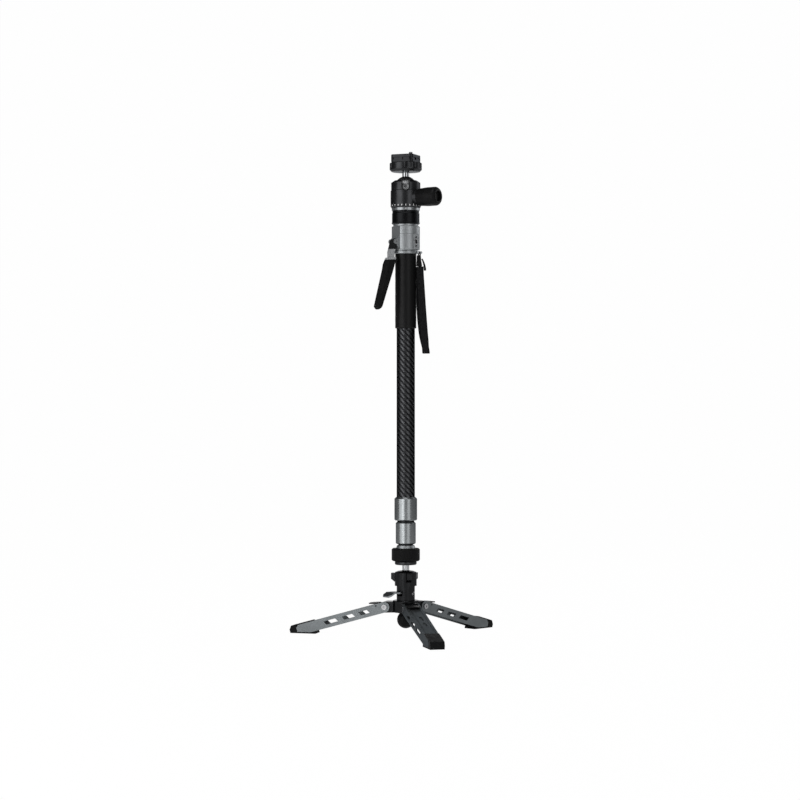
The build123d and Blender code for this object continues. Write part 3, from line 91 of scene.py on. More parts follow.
class FinishSettings(bpy.types.PropertyGroup):
    """Colours of the monopod's finishes."""

    black: colour_property("Black coat", "Hub, column and ball head", (0.04, 0.041, 0.043))
    anodised: colour_property("Black anodising", "Lock rings and housings", (0.014, 0.0145, 0.0155))
    silver: colour_property("Silver anodising", "Lever housing and bevel ring", (0.3, 0.315, 0.325))
    # The lever's colour is the silver anodising painted lighter, a painted highlight for light on its flat
    # arm.
    lever: colour_property("Silver anodising painted lighter", "Lever arm", (0.42, 0.43, 0.44))
    plate: colour_property("Dark grey anodising", "Legs and pedal", (0.165, 0.178, 0.184))
    collar: colour_property("Grey anodising", "Collars", (0.27, 0.285, 0.292))
    # The light tows' colour is painted sheen of the tows lying one way.
    weave_sheen: colour_property("Weave, tows with painted sheen", "Tube's woven skin", (0.07, 0.072, 0.075))
    weave_dark: colour_property("Weave, dark tows", "Tube's woven skin", (0.01, 0.01, 0.011))
    foam: colour_property("Foam", "Hand grip", (0.0018, 0.0018, 0.002))
    rubber: colour_property("Rubber", "Shoes, drag ring and lever sleeve", (0.0038, 0.0038, 0.004))
    chrome: colour_property("Chrome", "Ball stems", (0.42, 0.43, 0.44))
    webbing: colour_property("Webbing", "Wrist strap", (0.006, 0.006, 0.0065))
    mark: colour_property("Printed marks", "Scale on the ball head", (0.72, 0.72, 0.72))


class FittingSettings(bpy.types.PropertyGroup):
    """Sizes of the monopod's small fittings."""

    mark_count: IntProperty(
        name="Scale marks", description="Marks round the ball head's foot", default=24, min=4
    )
    mark_width: length_property("Mark width", "Width of one scale mark", 0.0013)
    mark_height: length_property("Mark height", "Height of one scale mark", 0.0026)
    thread_pitch: length_property("Thread pitch", "Pitch of the camera screw", 0.00127)
    set_screw_radius: length_property("Set screw radius", "Small socket screws", 0.0019)


class StrapSettings(bpy.types.PropertyGroup):
    """Sizes of the wrist strap."""

    width: length_property("Webbing width", "Width of the webbing", 0.0115)
    thickness: length_property("Webbing thickness", "Thickness of one ply", 0.0013)
    bow: length_property("Webbing bow", "Half the strap's depth across its two plies", 0.0024)
    cord_diameter: length_property("Cord diameter", "Thin cord through the lug", 0.002)
    azimuth: FloatProperty(
        name="Strap direction", description="Where the lug points, from +X", default=math.radians(-15),
        subtype="ANGLE",
    )


class StudioSettings(bpy.types.PropertyGroup):
    """The studio and its camera."""

    floor_tone: FloatProperty(
        name="Floor tone", description="Brightness of the floor", default=0.9, min=0, max=1
    )
    lens: FloatProperty(
        name="Lens", description="Focal length in millimetres", default=93.24, min=10
    )
    distance: length_property("Camera distance", "From the tubes' axis", 3.315)
    height: length_property("Camera height", "Above the floor", 0.3773)
    side: FloatProperty(
        name="Camera side", description="Camera's place left of the axis", default=0.0092,
        unit="LENGTH",
    )


# Materials


class Recipe:
    """A material's node tree with short calls to add and join nodes."""

    def __init__(self, name, colour, roughness, metallic=0.0, **sockets):
        self.material = bpy.data.materials.new(name)
        self.material.use_nodes = True
        self.tree = self.material.node_tree
        self.shader = self.tree.nodes["Principled BSDF"]
        self.shader.inputs["Base Color"].default_value = (*colour, 1)
        self.shader.inputs["Roughness"].default_value = roughness
        self.shader.inputs["Metallic"].default_value = metallic
        for key, value in sockets.items():
            self.shader.inputs[key.replace("_", " ")].default_value = value

    def node(self, kind, **inputs):
        """Adds a node. Inputs may be values or other nodes' sockets."""
        made = self.tree.nodes.new(kind)
        for key, value in inputs.items():
            self.feed(made, key.replace("_", " "), value)
        return made

    def feed(self, made, key, value):
        """Sets one input to a value or joins it to a socket."""
        socket = made.inputs[int(key[1:])] if key[0] == "i" and key[1:].isdigit() else made.inputs[key]
        if isinstance(value, bpy.types.NodeSocket):
            self.tree.links.new(value, socket)
        else:
            socket.default_value = value

    def place(self):
        """The piece's own coordinates, in metres."""
        return self.node("ShaderNodeTexCoord").outputs["Object"]

    def math(self, operation, a, b=0.0):
        """One arithmetic step."""
        made = self.node("ShaderNodeMath", i0=a, i1=b)
        made.operation = operation
        return made.outputs[0]

    def noise(self, scale, detail=3.0, vector=None, roughness=0.55):
        """A noise value about one half."""
        made = self.node("ShaderNodeTexNoise", Scale=scale, Detail=detail, Roughness=roughness)
        self.tree.links.new(vector or self.place(), made.inputs["Vector"])
        return made.outputs[0]

    def stretched(self, x, y, z):
        """The piece's coordinates scaled along each axis."""
        made = self.node("ShaderNodeMapping", Scale=(x, y, z))
        self.tree.links.new(self.place(), made.inputs["Vector"])
        return made.outputs[0]

    def between(self, value, low, high, low_colour, high_colour):
        """A colour ramp between two tones."""
        made = self.node("ShaderNodeValToRGB", Fac=value)
        made.color_ramp.elements[0].position = low
        made.color_ramp.elements[1].position = high
        made.color_ramp.elements[0].color = (*low_colour, 1)
        made.color_ramp.elements[1].color = (*high_colour, 1)
        return made.outputs[0]

    def span(self, value, low, high, to_low, to_high):
        """Maps a value onto another range."""
        made = self.node(
            "ShaderNodeMapRange",
            Value=value,
            From_Min=low,
            From_Max=high,
            To_Min=to_low,
            To_Max=to_high,
        )
        return made.outputs[0]

    def smooth(self, value, low, high, to_low, to_high):
        """Maps a value onto another range with soft ends."""
        mapped = self.span(value, low, high, to_low, to_high)
        mapped.node.interpolation_type = "SMOOTHSTEP"
        return mapped

    def colour(self, socket):
        """Joins the base colour to a socket."""
        self.tree.links.new(socket, self.shader.inputs["Base Color"])

    def roughness(self, socket):
        """Joins the roughness to a socket."""
        self.tree.links.new(socket, self.shader.inputs["Roughness"])

    def bump(self, height, strength, distance):
        """Relief added over any relief already there."""
        made = self.node("ShaderNodeBump", Strength=strength, Distance=distance, Height=height)
        previous = self.shader.inputs["Normal"].links
        if previous:
            self.tree.links.new(previous[0].from_socket, made.inputs["Normal"])
        self.tree.links.new(made.outputs[0], self.shader.inputs["Normal"])

    def wrapped(self):
        """Angle in radians and height in metres round the tubes' axis."""
        split = self.node("ShaderNodeSeparateXYZ", Vector=self.place()).outputs
        angle = self.math("ARCTAN2", split[1], split[0])
        return angle, split[2]


# Tints of a metal finish where it is seen at a grazing angle
DARK_EDGE = (0.22, 0.22, 0.23, 1)
SOFT_EDGE = (0.7, 0.72, 0.74, 1)
CAST_EDGE = (0.45, 0.45, 0.46, 1)


def tones(colour, darker, lighter):
    """Two shades of one colour."""
    return [c * darker for c in colour], [min(1.0, c * lighter) for c in colour]


def worn(recipe, colour, amount=1.35, low=0.35, high=0.75, scale=60.0):
    """Soft variation of colour over a surface."""
    dark, light = tones(colour, 0.82, amount)
    recipe.colour(recipe.between(recipe.noise(scale, 4.0), low, high, dark, light))


def black_coat(name, colour, smooth=0.25, rough=0.33):
    """Fine satin black finish on cast metal, between two roughnesses."""
    recipe = Recipe(name, colour, rough, 0.85, Specular_Tint=CAST_EDGE, Specular_IOR_Level=0.2)
    worn(recipe, colour, 1.2)
    grain = recipe.noise(2600.0, 2.0)
    recipe.roughness(recipe.span(recipe.noise(90.0), 0.3, 0.7, smooth, rough))
    recipe.bump(grain, 0.25, 0.00006)
    return recipe.material


def anodised(name, colour, roughness, turned=1.0, metallic=1.0, bands=(), edge=DARK_EDGE):
    """Anodised metal with fine turning lines. Bands are (low, high, colour) heights."""
    recipe = Recipe(name, colour, roughness, metallic, Specular_Tint=edge)
    dark, light = tones(colour, 0.85, 1.12)
    tone = recipe.between(recipe.noise(35.0, 4.0), 0.3, 0.8, dark, light)
    height = recipe.wrapped()[1]
    for low, high, shade in bands:
        above = recipe.math("GREATER_THAN", height, low)
        below = recipe.math("LESS_THAN", height, high)
        mix = recipe.node("ShaderNodeMix")
        mix.data_type = "RGBA"
        mix.inputs[7].default_value = (*shade, 1)
        recipe.tree.links.new(recipe.math("MULTIPLY", above, below), mix.inputs[0])
        recipe.tree.links.new(tone, mix.inputs[6])
        tone = mix.outputs[2]
    recipe.colour(tone)
    lines = recipe.noise(900.0, 2.0, recipe.stretched(0.02, 0.02, 6.0))
    recipe.roughness(recipe.span(lines, 0.3, 0.7, roughness * 0.85, roughness * 1.15))
    recipe.bump(lines, 0.12 * turned, 0.00005)
    grain = recipe.noise(3000.0, 1.0)
    recipe.bump(grain, 0.08, 0.00004)
    return recipe.material


def polished(name, colour, roughness=0.1, metallic=1.0):
    """Polished metal with faint wipe marks."""
    recipe = Recipe(name, colour, roughness, metallic, Specular_Tint=DARK_EDGE)
    smear = recipe.noise(140.0, 3.0)
    dark, light = tones(colour, 0.95, 1.05)
    recipe.colour(recipe.between(smear, 0.3, 0.7, dark, light))
    recipe.roughness(recipe.span(smear, 0.3, 0.7, roughness * 0.8, roughness * 1.4))
    return recipe.material


def woven_tube(name, light, dark, radius, tow=0.0021):
    """Twill of wide flat tows under a clear coat, wrapped round a tube, with the tows that lie over painted
    lighter as painted sheen.
    """
    recipe = Recipe(name, dark, 0.27, 1.0, Specular_Tint=DARK_EDGE)
    angle, height = recipe.wrapped()
    count = round(TAU * radius / tow / 4) * 4
    across = recipe.math("MULTIPLY", angle, count / TAU)
    along = recipe.math("MULTIPLY", height, 1 / tow)
    cell_a = recipe.math("FLOOR", across)
    cell_b = recipe.math("FLOOR", along)
    step = recipe.math("FLOORED_MODULO", recipe.math("ADD", cell_a, cell_b), 4.0)
    over = recipe.math("LESS_THAN", step, 1.5)
    part_a = recipe.math("FRACT", across)
    part_b = recipe.math("FRACT", along)
    crown_a = recipe.math("SINE", recipe.math("MULTIPLY", part_a, math.pi))
    crown_b = recipe.math("SINE", recipe.math("MULTIPLY", part_b, math.pi))
    mix = recipe.node("ShaderNodeMix", Factor=over, A=crown_a, B=crown_b)
    crown = mix.outputs[0]
    strands = recipe.noise(2400.0, 2.0, recipe.stretched(1.0, 1.0, 0.1))
    # Tows that lie over are painted lighter as painted sheen; the strand noise is random tone.
    tone = recipe.math("ADD", recipe.math("MULTIPLY", over, 0.45), recipe.math("MULTIPLY", strands, 0.4))
    recipe.colour(recipe.between(tone, 0.2, 0.75, dark, light))
    recipe.bump(crown, 0.5, 0.00025)
    return recipe.material


def foam_skin(name, colour):
    """Fine closed-cell foam."""
    recipe = Recipe(name, colour, 0.42, 0.0, Sheen_Weight=0.01, Sheen_Roughness=0.6, Specular_IOR_Level=0.16)
    worn(recipe, colour, 1.5, 0.3, 0.8, 220.0)
    cells = recipe.node("ShaderNodeTexVoronoi", Scale=1500.0, Vector=recipe.place())
    recipe.bump(cells.outputs["Distance"], 0.4, 0.00006)
    recipe.bump(recipe.noise(300.0, 3.0), 0.2, 0.0001)
    return recipe.material


def rubber(name, colour, ribbed=0.0, roughness=0.62):
    """Moulded rubber, plain or with fine slanted ribs."""
    recipe = Recipe(name, colour, roughness, 0.0, Specular_IOR_Level=0.1)
    worn(recipe, colour, 1.4)
    recipe.roughness(recipe.span(recipe.noise(120.0), 0.3, 0.7, roughness * 0.88, roughness * 1.1))
    recipe.bump(recipe.noise(1800.0, 2.0), 0.3, 0.00008)
    if ribbed:
        split = recipe.node("ShaderNodeSeparateXYZ", Vector=recipe.place()).outputs
        slant = recipe.math("ADD", recipe.math("MULTIPLY", split[0], 0.9), split[2])
        other = recipe.math("SUBTRACT", recipe.math("MULTIPLY", split[0], 0.9), split[2])
        wave = recipe.math("SINE", recipe.math("MULTIPLY", slant, TAU / ribbed))
        cross = recipe.math("SINE", recipe.math("MULTIPLY", other, TAU / ribbed))
        recipe.bump(recipe.math("MAXIMUM", wave, cross), 0.5, 0.00025)
    return recipe.material


def woven_strap(name, colour):
    """Flat webbing with a herringbone of fine yarns along its length."""
    recipe = Recipe(name, colour, 0.82, 0.0, Sheen_Weight=0.03, Sheen_Roughness=0.5, Specular_IOR_Level=0.08)
    split = recipe.node("ShaderNodeSeparateXYZ", Vector=recipe.place()).outputs
    rows = recipe.math("MULTIPLY", split[2], TAU / 0.0011)
    ribs = recipe.math("MULTIPLY", split[0], TAU / 0.0014)
    bend = recipe.math("MULTIPLY", recipe.math("SINE", ribs), 1.4)
    yarn = recipe.math("SINE", recipe.math("ADD", rows, bend))
    fuzz = recipe.noise(1500.0, 3.0)
    tone = recipe.math("ADD", recipe.math("MULTIPLY", yarn, 0.25), fuzz)
    dark, light = tones(colour, 0.6, 2.2)
    recipe.colour(recipe.between(tone, 0.3, 0.95, dark, light))
    recipe.bump(yarn, 0.6, 0.00025)
    recipe.bump(fuzz, 0.4, 0.0001)
    return recipe.material


def braided_cord(name, colour):
    """Round braid of fine yarns."""
    recipe = Recipe(name, colour, 0.8, 0.0, Sheen_Weight=0.03, Specular_IOR_Level=0.1)
    split = recipe.node("ShaderNodeSeparateXYZ", Vector=recipe.place()).outputs
    slant = recipe.math("ADD", split[2], recipe.math("MULTIPLY", split[0], 1.2))
    other = recipe.math("SUBTRACT", split[2], recipe.math("MULTIPLY", split[0], 1.2))
    plait = recipe.math(
        "MULTIPLY",
        recipe.math("SINE", recipe.math("MULTIPLY", slant, TAU / 0.0007)),
        recipe.math("SINE", recipe.math("MULTIPLY", other, TAU / 0.0007)),
    )
    dark, light = tones(colour, 0.7, 1.8)
    recipe.colour(recipe.between(plait, -0.4, 0.6, dark, light))
    recipe.bump(plait, 0.6, 0.0001)
    return recipe.material


def printed(name, colour):
    """Pale print with a slightly uneven tone."""
    recipe = Recipe(name, colour, 0.55)
    worn(recipe, colour, 1.05, 0.3, 0.7, 400.0)
    recipe.bump(recipe.noise(2600.0, 2.0), 0.2, 0.00004)
    return recipe.material


def moulded(name, colour, gloss=0.15):
    """Matt moulded plastic with a fine spark texture."""
    recipe = Recipe(name, colour, 0.45, 0.0, Specular_IOR_Level=gloss)
    worn(recipe, colour, 1.3)
    recipe.bump(recipe.noise(1300.0, 2.0), 0.35, 0.00008)
    return recipe.material


FINISHES = {}
PLATE_BLACK = (0.028, 0.0285, 0.03)


def pan_bands(colours):
    """The pan base is black below its bright ring."""
    return ((0.0, node_range("pan_base")[0] + 0.0299, colours.anodised),)


def lever_bands(colours):
    """The lever's arm is black above its foot."""
    return ((node_range("lever_pin")[0] - 0.0105, 1.0, colours.anodised),)


def housing_recess_shade_bands(colours):
    """The housing's recess over the strap ring is painted black as painted shade."""
    return ((0.0, node_range("lever_housing")[0] + 0.0018, colours.anodised),)


def collar_bands(colours):
    """The lower collar's neck is black."""
    return ((node_range("collar_2")[1] - 0.0027, 1.0, colours.anodised),)


def fitting_bands(colours):
    """The fitting's core and neck are black, and its bevel is bright."""
    top = node_range("lower_fitting")[1]
    return ((0.0, top - 0.0063, colours.anodised), (top - 0.0021, 1.0, colours.anodised))


def make_finishes(colours):
    """All finishes, by the record's slot names and a few of the pieces' own."""
    FINISHES.update(
        black_satin=black_coat("black_satin_coat", colours.black),
        base_black=black_coat("black_gloss_coat", [c * 0.45 for c in colours.black], 0.17, 0.24),
        black_anodised=anodised("black_anodised_turned", colours.anodised, 0.36, edge=SOFT_EDGE),
        plate_black=anodised("plate_black_anodised", PLATE_BLACK, 0.34, 0.3, edge=SOFT_EDGE),
        silver_anodised=anodised(
            "silver_anodised_turned", colours.silver, 0.4, 0.6, 0.75, edge=SOFT_EDGE
        ),
        # The housing's silver has painted shade: its recess over the strap ring is painted black.
        housing_silver=anodised(
            "housing_silver_painted_recess_shade", colours.silver, 0.4, 0.6, 0.75, housing_recess_shade_bands(colours), SOFT_EDGE
        ),
        plate_grey=anodised("grey_anodised_sheet", colours.plate, 0.45, 0.2),
        grey_anodised=anodised("grey_anodised_turned", colours.collar, 0.27, 0.5),
        collar_grey=anodised(
            "collar_two_tone", colours.collar, 0.27, 0.5, bands=collar_bands(colours)
        ),
        pan_silver=anodised(
            "pan_base_two_tone", colours.silver, 0.34, 1.0, 0.9, pan_bands(colours), SOFT_EDGE
        ),
        # The lever's silver is painted lighter as a painted highlight; its black band is real two-tone.
        lever_silver=anodised(
            "lever_two_tone_painted_highlight", colours.lever, 0.42, 0.4, 0.55, lever_bands(colours), SOFT_EDGE
        ),
        fitting_silver=anodised(
            "fitting_two_tone", colours.silver, 0.4, 1.0, 0.9, fitting_bands(colours), SOFT_EDGE
        ),
        # The tubes' light tows carry painted sheen.
        carbon=woven_tube("woven_tube_outer", colours.weave_sheen, colours.weave_dark, 0.0146),
        carbon_2=woven_tube("woven_tube_middle", colours.weave_sheen, colours.weave_dark, 0.0125),
        carbon_3=woven_tube("woven_tube_inner", colours.weave_sheen, colours.weave_dark, 0.0105),
        foam=foam_skin("grip_foam", colours.foam),
        rubber=rubber("moulded_rubber", colours.rubber),
        sleeve_rubber=rubber("checked_rubber", colours.rubber, 0.0013, 0.55),
        chrome=polished("bright_chrome", colours.chrome),
        steel=anodised("turned_steel", (0.36, 0.36, 0.37), 0.28),
        black_plastic=moulded("black_moulding", (0.0045, 0.0045, 0.0048)),
        ball_black=polished("ball_black_polish", (0.2, 0.204, 0.208), 0.3, 0.9),
        knob_black=moulded("knob_black_moulding", (0.0045, 0.0045, 0.0048), 0.1),
        webbing=woven_strap("strap_webbing_weave", colours.webbing),
        cord=braided_cord("strap_cord_braid", colours.webbing),
        print=printed("scale_print", colours.mark),
    )


NODE_FINISH = {
    "tube_2": "carbon_2",
    "tube_3": "carbon_3",
    "lever_sleeve": "sleeve_rubber",
    "pan_base": "pan_silver",
    "lever": "lever_silver",
    "lower_fitting": "fitting_silver",
    # The housing's finish paints shade into its recess.
    "lever_housing": "housing_silver",
    "lock_knob": "knob_black",
    "pedal": "grey_anodised",
    "collar_2": "collar_grey",
    "camera_plate": "plate_black",
    "clamp_base": "plate_black",
    "leg_hub": "base_black",
    "base_column": "base_black",
    "base_head": "base_black",
}


# Mesh helpers


def add_piece(name, mesh, body, finish):
    """Links a mesh as a piece, gives it its finish and puts it on its body."""
    piece = bpy.data.objects.new(name, mesh)
    bpy.context.scene.collection.objects.link(piece)
    mesh.materials.append(FINISHES[finish])
    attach(piece, body)
    return piece


def finished_mesh(name, bm, smooth=True):
    """Turns an edit mesh into a mesh with outward faces."""
    bmesh.ops.recalc_face_normals(bm, faces=bm.faces)
    for face in bm.faces:
        face.smooth = smooth
    mesh = bpy.data.meshes.new(name)
    bm.to_mesh(mesh)
    bm.free()
    return mesh


def skin(bm, loops, closed=False, ends=False):
    """Joins rings of points with quads, and may cap the two ends."""
    rings = [[bm.verts.new(p) for p in loop] for loop in loops]
    pairs = list(zip(rings, rings[1:]))
    if closed:
        pairs.append((rings[-1], rings[0]))
    for ring_a, ring_b in pairs:
        count = len(ring_a)
        for k in range(count):
            n = (k + 1) % count
            bm.faces.new((ring_a[k], ring_a[n], ring_b[n], ring_b[k]))
    if ends:
        bm.faces.new(rings[0])
        bm.faces.new(rings[-1])
    return rings


def circle_points(radius, height, count, centre=(0.0, 0.0)):
    """Points of a level circle."""
    return [
        (
            centre[0] + radius * math.cos(TAU * k / count),
            centre[1] + radius * math.sin(TAU * k / count),
            height,
        )
        for k in range(count)
    ]


def lathe(bm, outline, count=96, matrix=None):
    """A closed solid of revolution from (radius, height) points about Z."""
    loops = [circle_points(r, z, count) for r, z in outline]
    before = set(bm.verts)
    skin(bm, loops, closed=True)
    if matrix is not None:
        bmesh.ops.transform(bm, matrix=matrix, verts=[v for v in bm.verts if v not in before])


def facing(azimuth, reach, height, tilt=0.0):
    """A frame whose Z points out along an azimuth, at a reach and height."""
    turn = Matrix.Rotation(math.radians(azimuth), 4, "Z")
    lean = Matrix.Rotation(math.radians(90 - tilt), 4, "Y")
    return Matrix.Translation((0, 0, height)) @ turn @ Matrix.Translation((reach, 0, 0)) @ lean


def socket_screw(bm, matrix, radius, depth, sink):
    """A small screw end with a hexagonal socket, its face at the frame's origin."""
    count = 24
    socket = radius * 0.55
    outline = [
        circle_points(radius, -depth, count),
        circle_points(radius, -0.12 * radius, count),
        circle_points(radius * 0.9, 0, count),
        hexagon_points(socket, 0, count),
        hexagon_points(socket, -sink, count),
    ]
    before = set(bm.verts)
    rings = skin(bm, outline)
    bm.faces.new(rings[0])
    bm.faces.new(rings[-1])
    bmesh.ops.transform(bm, matrix=matrix, verts=[v for v in bm.verts if v not in before])


def hexagon_points(radius, height, count):
    """Points of a level hexagon, as many as a circle has."""
    points = []
    for k in range(count):
        angle = TAU * k / count
        away = (angle % (math.pi / 3)) - math.pi / 6
        reach = radius * math.cos(math.pi / 6) / math.cos(away)
        points.append((reach * math.cos(angle), reach * math.sin(angle), height))
    return points


# Operators


class MONOPOD_OT_camera(bpy.types.Operator):
    """Set up the camera at the product photograph's viewing angle"""

    bl_idname = "monopod.camera"
    bl_label = "Camera"

    def execute(self, context):
        studio = context.scene.monopod_studio
        data = bpy.data.cameras.new("studio_camera")
        data.sensor_width = 36
        data.sensor_fit = "HORIZONTAL"
        data.lens = studio.lens
        data.clip_end = 60
        camera = bpy.data.objects.new("studio_camera", data)
        context.scene.collection.objects.link(camera)
        camera.location = (-studio.side, -studio.distance, studio.height)
        camera.rotation_euler = (math.pi / 2, 0, 0)
        context.scene.camera = camera
        return {"FINISHED"}


class MONOPOD_OT_finishes(bpy.types.Operator):
    """Give every machined, moulded and woven piece its finish"""

    bl_idname = "monopod.finishes"
    bl_label = "Finishes"

    def execute(self, context):
        make_finishes(context.scene.monopod_finish)
        slots = {s["node"]: s["material_slot"] for s in frame["record"]["subparts"]}
        for name, piece in frame["nodes"].items():
            finish = NODE_FINISH.get(name, slots[name])
            piece.data.materials.clear()
            piece.data.materials.append(FINISHES[finish])
        return {"FINISHED"}


STRAP_ROUTE = (
    (22.7, -2.0, 591.23),
    (24.2, -2.0, 599.73),
    (20.6, -5.4, 605.2),
    (24.0, -4.4, 612.88),
    (24.0, 4.4, 612.88),
    (21.4, 4.4, 606.48),
    (24.2, 2.0, 599.73),
    (25.7, 2.0, 591.23),
)


def strap_point(x, y, z, azimuth):
    """A place in the strap's own frame, in millimetres, as one in the monopod's."""
    cos, sin = math.cos(azimuth), math.sin(azimuth)
    return (x * cos - y * sin, x * sin + y * cos, z)


def belly(t):
    """How far the keeper has swung out, as a share, down its length."""
    return math.sin(t * math.pi / 2) ** 0.85


def squared(value):
    """Pushes a sine towards its ends, so that a round section turns nearly square."""
    return math.copysign(abs(value) ** 0.4, value)


def nurbs(name, points, radius):
    """A round tube along an open NURBS curve through a route in millimetres."""
    curve = bpy.data.curves.new(name, "CURVE")
    curve.dimensions = "3D"
    spline = curve.splines.new("NURBS")
    spline.points.add(len(points) - 1)
    for point, place in zip(spline.points, points):
        point.co = (*[c * MM for c in place], 1)
    spline.order_u = 3
    spline.use_endpoint_u = True
    spline.resolution_u = 12
    curve.bevel_depth = radius
    curve.bevel_resolution = 5
    curve.use_fill_caps = True
    return curve


class MONOPOD_OT_strap(bpy.types.Operator):
    """Make the wrist strap: cord, knot, keeper and folded webbing"""

    bl_idname = "monopod.strap"
    bl_label = "Wrist strap"

    def execute(self, context):
        sizes = context.scene.monopod_strap
        route = [strap_point(*place, sizes.azimuth) for place in STRAP_ROUTE]
        curve = nurbs("wrist_cord", route, sizes.cord_diameter / 2)
        cord = add_piece("wrist_cord", curve, "strap", "cord")
        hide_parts("strap_cord")
        knot = self.knot(sizes)
        webbing = self.webbing(sizes)
        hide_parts("strap_webbing")
        self.stitches(sizes)
        keeper = self.keeper(sizes)
        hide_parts("strap_tab")
        return {"FINISHED"}

    def edge(self, share, front):
        """A ply's inner edge at a share of the way down, in metres."""
        places = (0.0, 0.25, 0.5, 0.76, 1.0)
        reaches = (18.0, 20.2, 22.6, 25.4, 28.1) if front else (16.9, 17.0, 17.5, 21.0, 27.6)
        for k in range(len(places) - 1):
            if share <= places[k + 1]:
                t = (share - places[k]) / (places[k + 1] - places[k])
                before = reaches[max(k - 1, 0)]
                after = reaches[min(k + 2, len(reaches) - 1)]
                a, b = reaches[k], reaches[k + 1]
                return MM * 0.5 * (
                    2 * a
                    + (b - before) * t
                    + (2 * before - 5 * a + 4 * b - after) * t * t
                    + (3 * a - before - 3 * b + after) * t**3
                )
        return reaches[-1] * MM

    def webbing_point(self, along, sizes):
        """Middle of the webbing and its direction into the ply, at a share of its length."""
        low, high = node_range("strap_webbing")
        half = sizes.thickness / 2
        fold = 0.03
        side = 1 if along > 0.5 else -1
        run = abs(along - 0.5)
        if run < fold:
            turn = run / fold * math.pi / 2
            bow = sizes.bow - half
            y = side * bow * math.sin(turn)
            z = low + half + bow * (1 - math.cos(turn))
            normal = Vector((0, side * math.sin(turn), -math.cos(turn)))
            rise = z - low
        else:
            share = (run - fold) / (0.5 - fold)
            bow = sizes.bow - half
            start = low + half + bow
            z = start + share * (high - start)
            closing = max(0.0, (share - 0.87) / 0.13)
            y = side * (bow - closing**1.5 * (bow - half - 0.0001))
            normal = Vector((0, side, 0))
            rise = z - low
        down = 1 - rise / (high - low)
        blend = min(1.0, run / (3 * fold))
        inner = self.edge(down, False)
        outer = self.edge(down, True)
        middle = (inner + outer) / 2
        x = middle + blend * ((outer if side < 0 else inner) - middle) + sizes.width / 2
        return Vector((x, y, z)), normal

    def webbing(self, sizes):
        bm = bmesh.new()
        loops = []
        count = 220
        half_w, half_t = sizes.width / 2, sizes.thickness / 2
        across = (-1.0, -0.92, -0.5, 0.0, 0.5, 0.92, 1.0)
        for k in range(count + 1):
            centre, normal = self.webbing_point(k / count, sizes)
            ahead, _ = self.webbing_point(min(1.0, k / count + 0.002), sizes)
            behind, _ = self.webbing_point(max(0.0, k / count - 0.002), sizes)
            run = (ahead - behind).normalized()
            wide = run.cross(normal).normalized()
            if wide.x < 0:
                wide = -wide
            ripple = 0.00012 * math.sin(k * 0.31) * math.sin(k * 0.047)
            upper = []
            lower = []
            for share in across:
                thick = half_t * (0.55 if abs(share) == 1 else 1.0)
                base = centre + wide * (share * half_w)
                upper.append(base + normal * (thick + ripple))
                lower.append(base - normal * (thick - ripple))
            loops.append(upper + lower[::-1])
        skin(bm, loops, ends=True)
        self.turn(bm, sizes)
        return add_piece("wrist_webbing", finished_mesh("wrist_webbing", bm), "strap", "webbing")

    def stitches(self, sizes):
        """Two bars of thread across the webbing."""
        bm = bmesh.new()
        for down in (0.03, 0.24):
            for lane in range(-4, 5):
                centre, normal = self.webbing_point(0.5 - 0.47 * (1 - down) - 0.03 * down, sizes)
                place = centre + Vector((lane * 0.001, 0, 0)) + normal * (sizes.thickness / 2)
                self.thread(bm, place, normal)
        self.turn(bm, sizes)
        return add_piece("wrist_stitches", finished_mesh("wrist_stitches", bm), "strap", "cord")

    def turn(self, bm, sizes):
        """Turns a piece drawn along +X to where the lug points."""
        bmesh.ops.rotate(bm, matrix=Matrix.Rotation(sizes.azimuth, 3, "Z"), verts=bm.verts)

    def thread(self, bm, place, normal):
        """One short raised stitch."""
        yarn, length = 0.00022, 0.0016
        loops = []
        for step in range(5):
            t = step / 4 - 0.5
            rise = yarn * (1 - (2 * t) ** 2)
            centre = place + Vector((0, 0, t * length)) + normal * rise
            loop = []
            for a in (0.0, 1.26, 2.51, 3.77, 5.03):
                loop.append(centre + Vector((yarn * math.cos(a), yarn * math.sin(a), 0)))
            loops.append(loop)
        skin(bm, loops, ends=True)

    def knot(self, sizes):
        """A whipping of the same cord drawn up round both strands."""
        turns, steps = 10, 120
        reach, lean = 21.9, -0.3
        wide, deep, narrowing = 3.6, 3.0, -1.0
        foot, height = 590.9, 17.0
        points = []
        for k in range(steps + 1):
            t = k / steps
            angle = TAU * turns * t
            x = reach + lean * t + (wide + narrowing * t) * math.cos(angle)
            y = (deep + narrowing * t) * math.sin(angle)
            points.append(strap_point(x, y, foot + height * t, sizes.azimuth))
        curve = nurbs("wrist_knot", points, sizes.cord_diameter / 2)
        return add_piece("wrist_knot", curve, "strap", "cord")

    def keeper(self, sizes):
        """The curved keeper beside the cord, a folded flap with a rounded end."""
        start, top, reach, drop = 0.0253, 0.60313, 0.0084, 0.02
        low, high = Vector((start, 0, top - drop)), Vector((start + reach, 0, top))
        bm = bmesh.new()
        loops = []
        count = 28
        thick = 0.0016
        half_width = 0.0029
        for k in range(count + 1):
            t = k / count
            x = low.x + thick + (high.x - low.x - 2.2 * thick) * belly(t)
            z = high.z - thick / 2 - (high.z - low.z - thick) * t
            ahead = min(1.0, t + 0.02)
            behind = max(0.0, t - 0.02)
            along_x = (high.x - low.x) * (belly(ahead) - belly(behind))
            along_z = -(high.z - low.z) * (ahead - behind)
            run = Vector((along_x, 0, along_z)).normalized()
            out = Vector((-run.z, 0, run.x))
            ending = max(0.0, (t - 0.85) / 0.15)
            half = half_width * math.sqrt(max(0.02, 1 - ending**2 * 0.6))
            depth = thick * (0.5 + 0.5 * t)
            loop = []
            for a in range(12):
                angle = TAU * a / 12
                wide = Vector((0, half * squared(math.cos(angle)), 0))
                loop.append(Vector((x, 0, z)) + wide + out * (depth * squared(math.sin(angle))))
            loops.append(loop)
        skin(bm, loops, ends=True)
        self.turn(bm, sizes)
        return add_piece("wrist_keeper", finished_mesh("wrist_keeper", bm), "strap", "rubber")


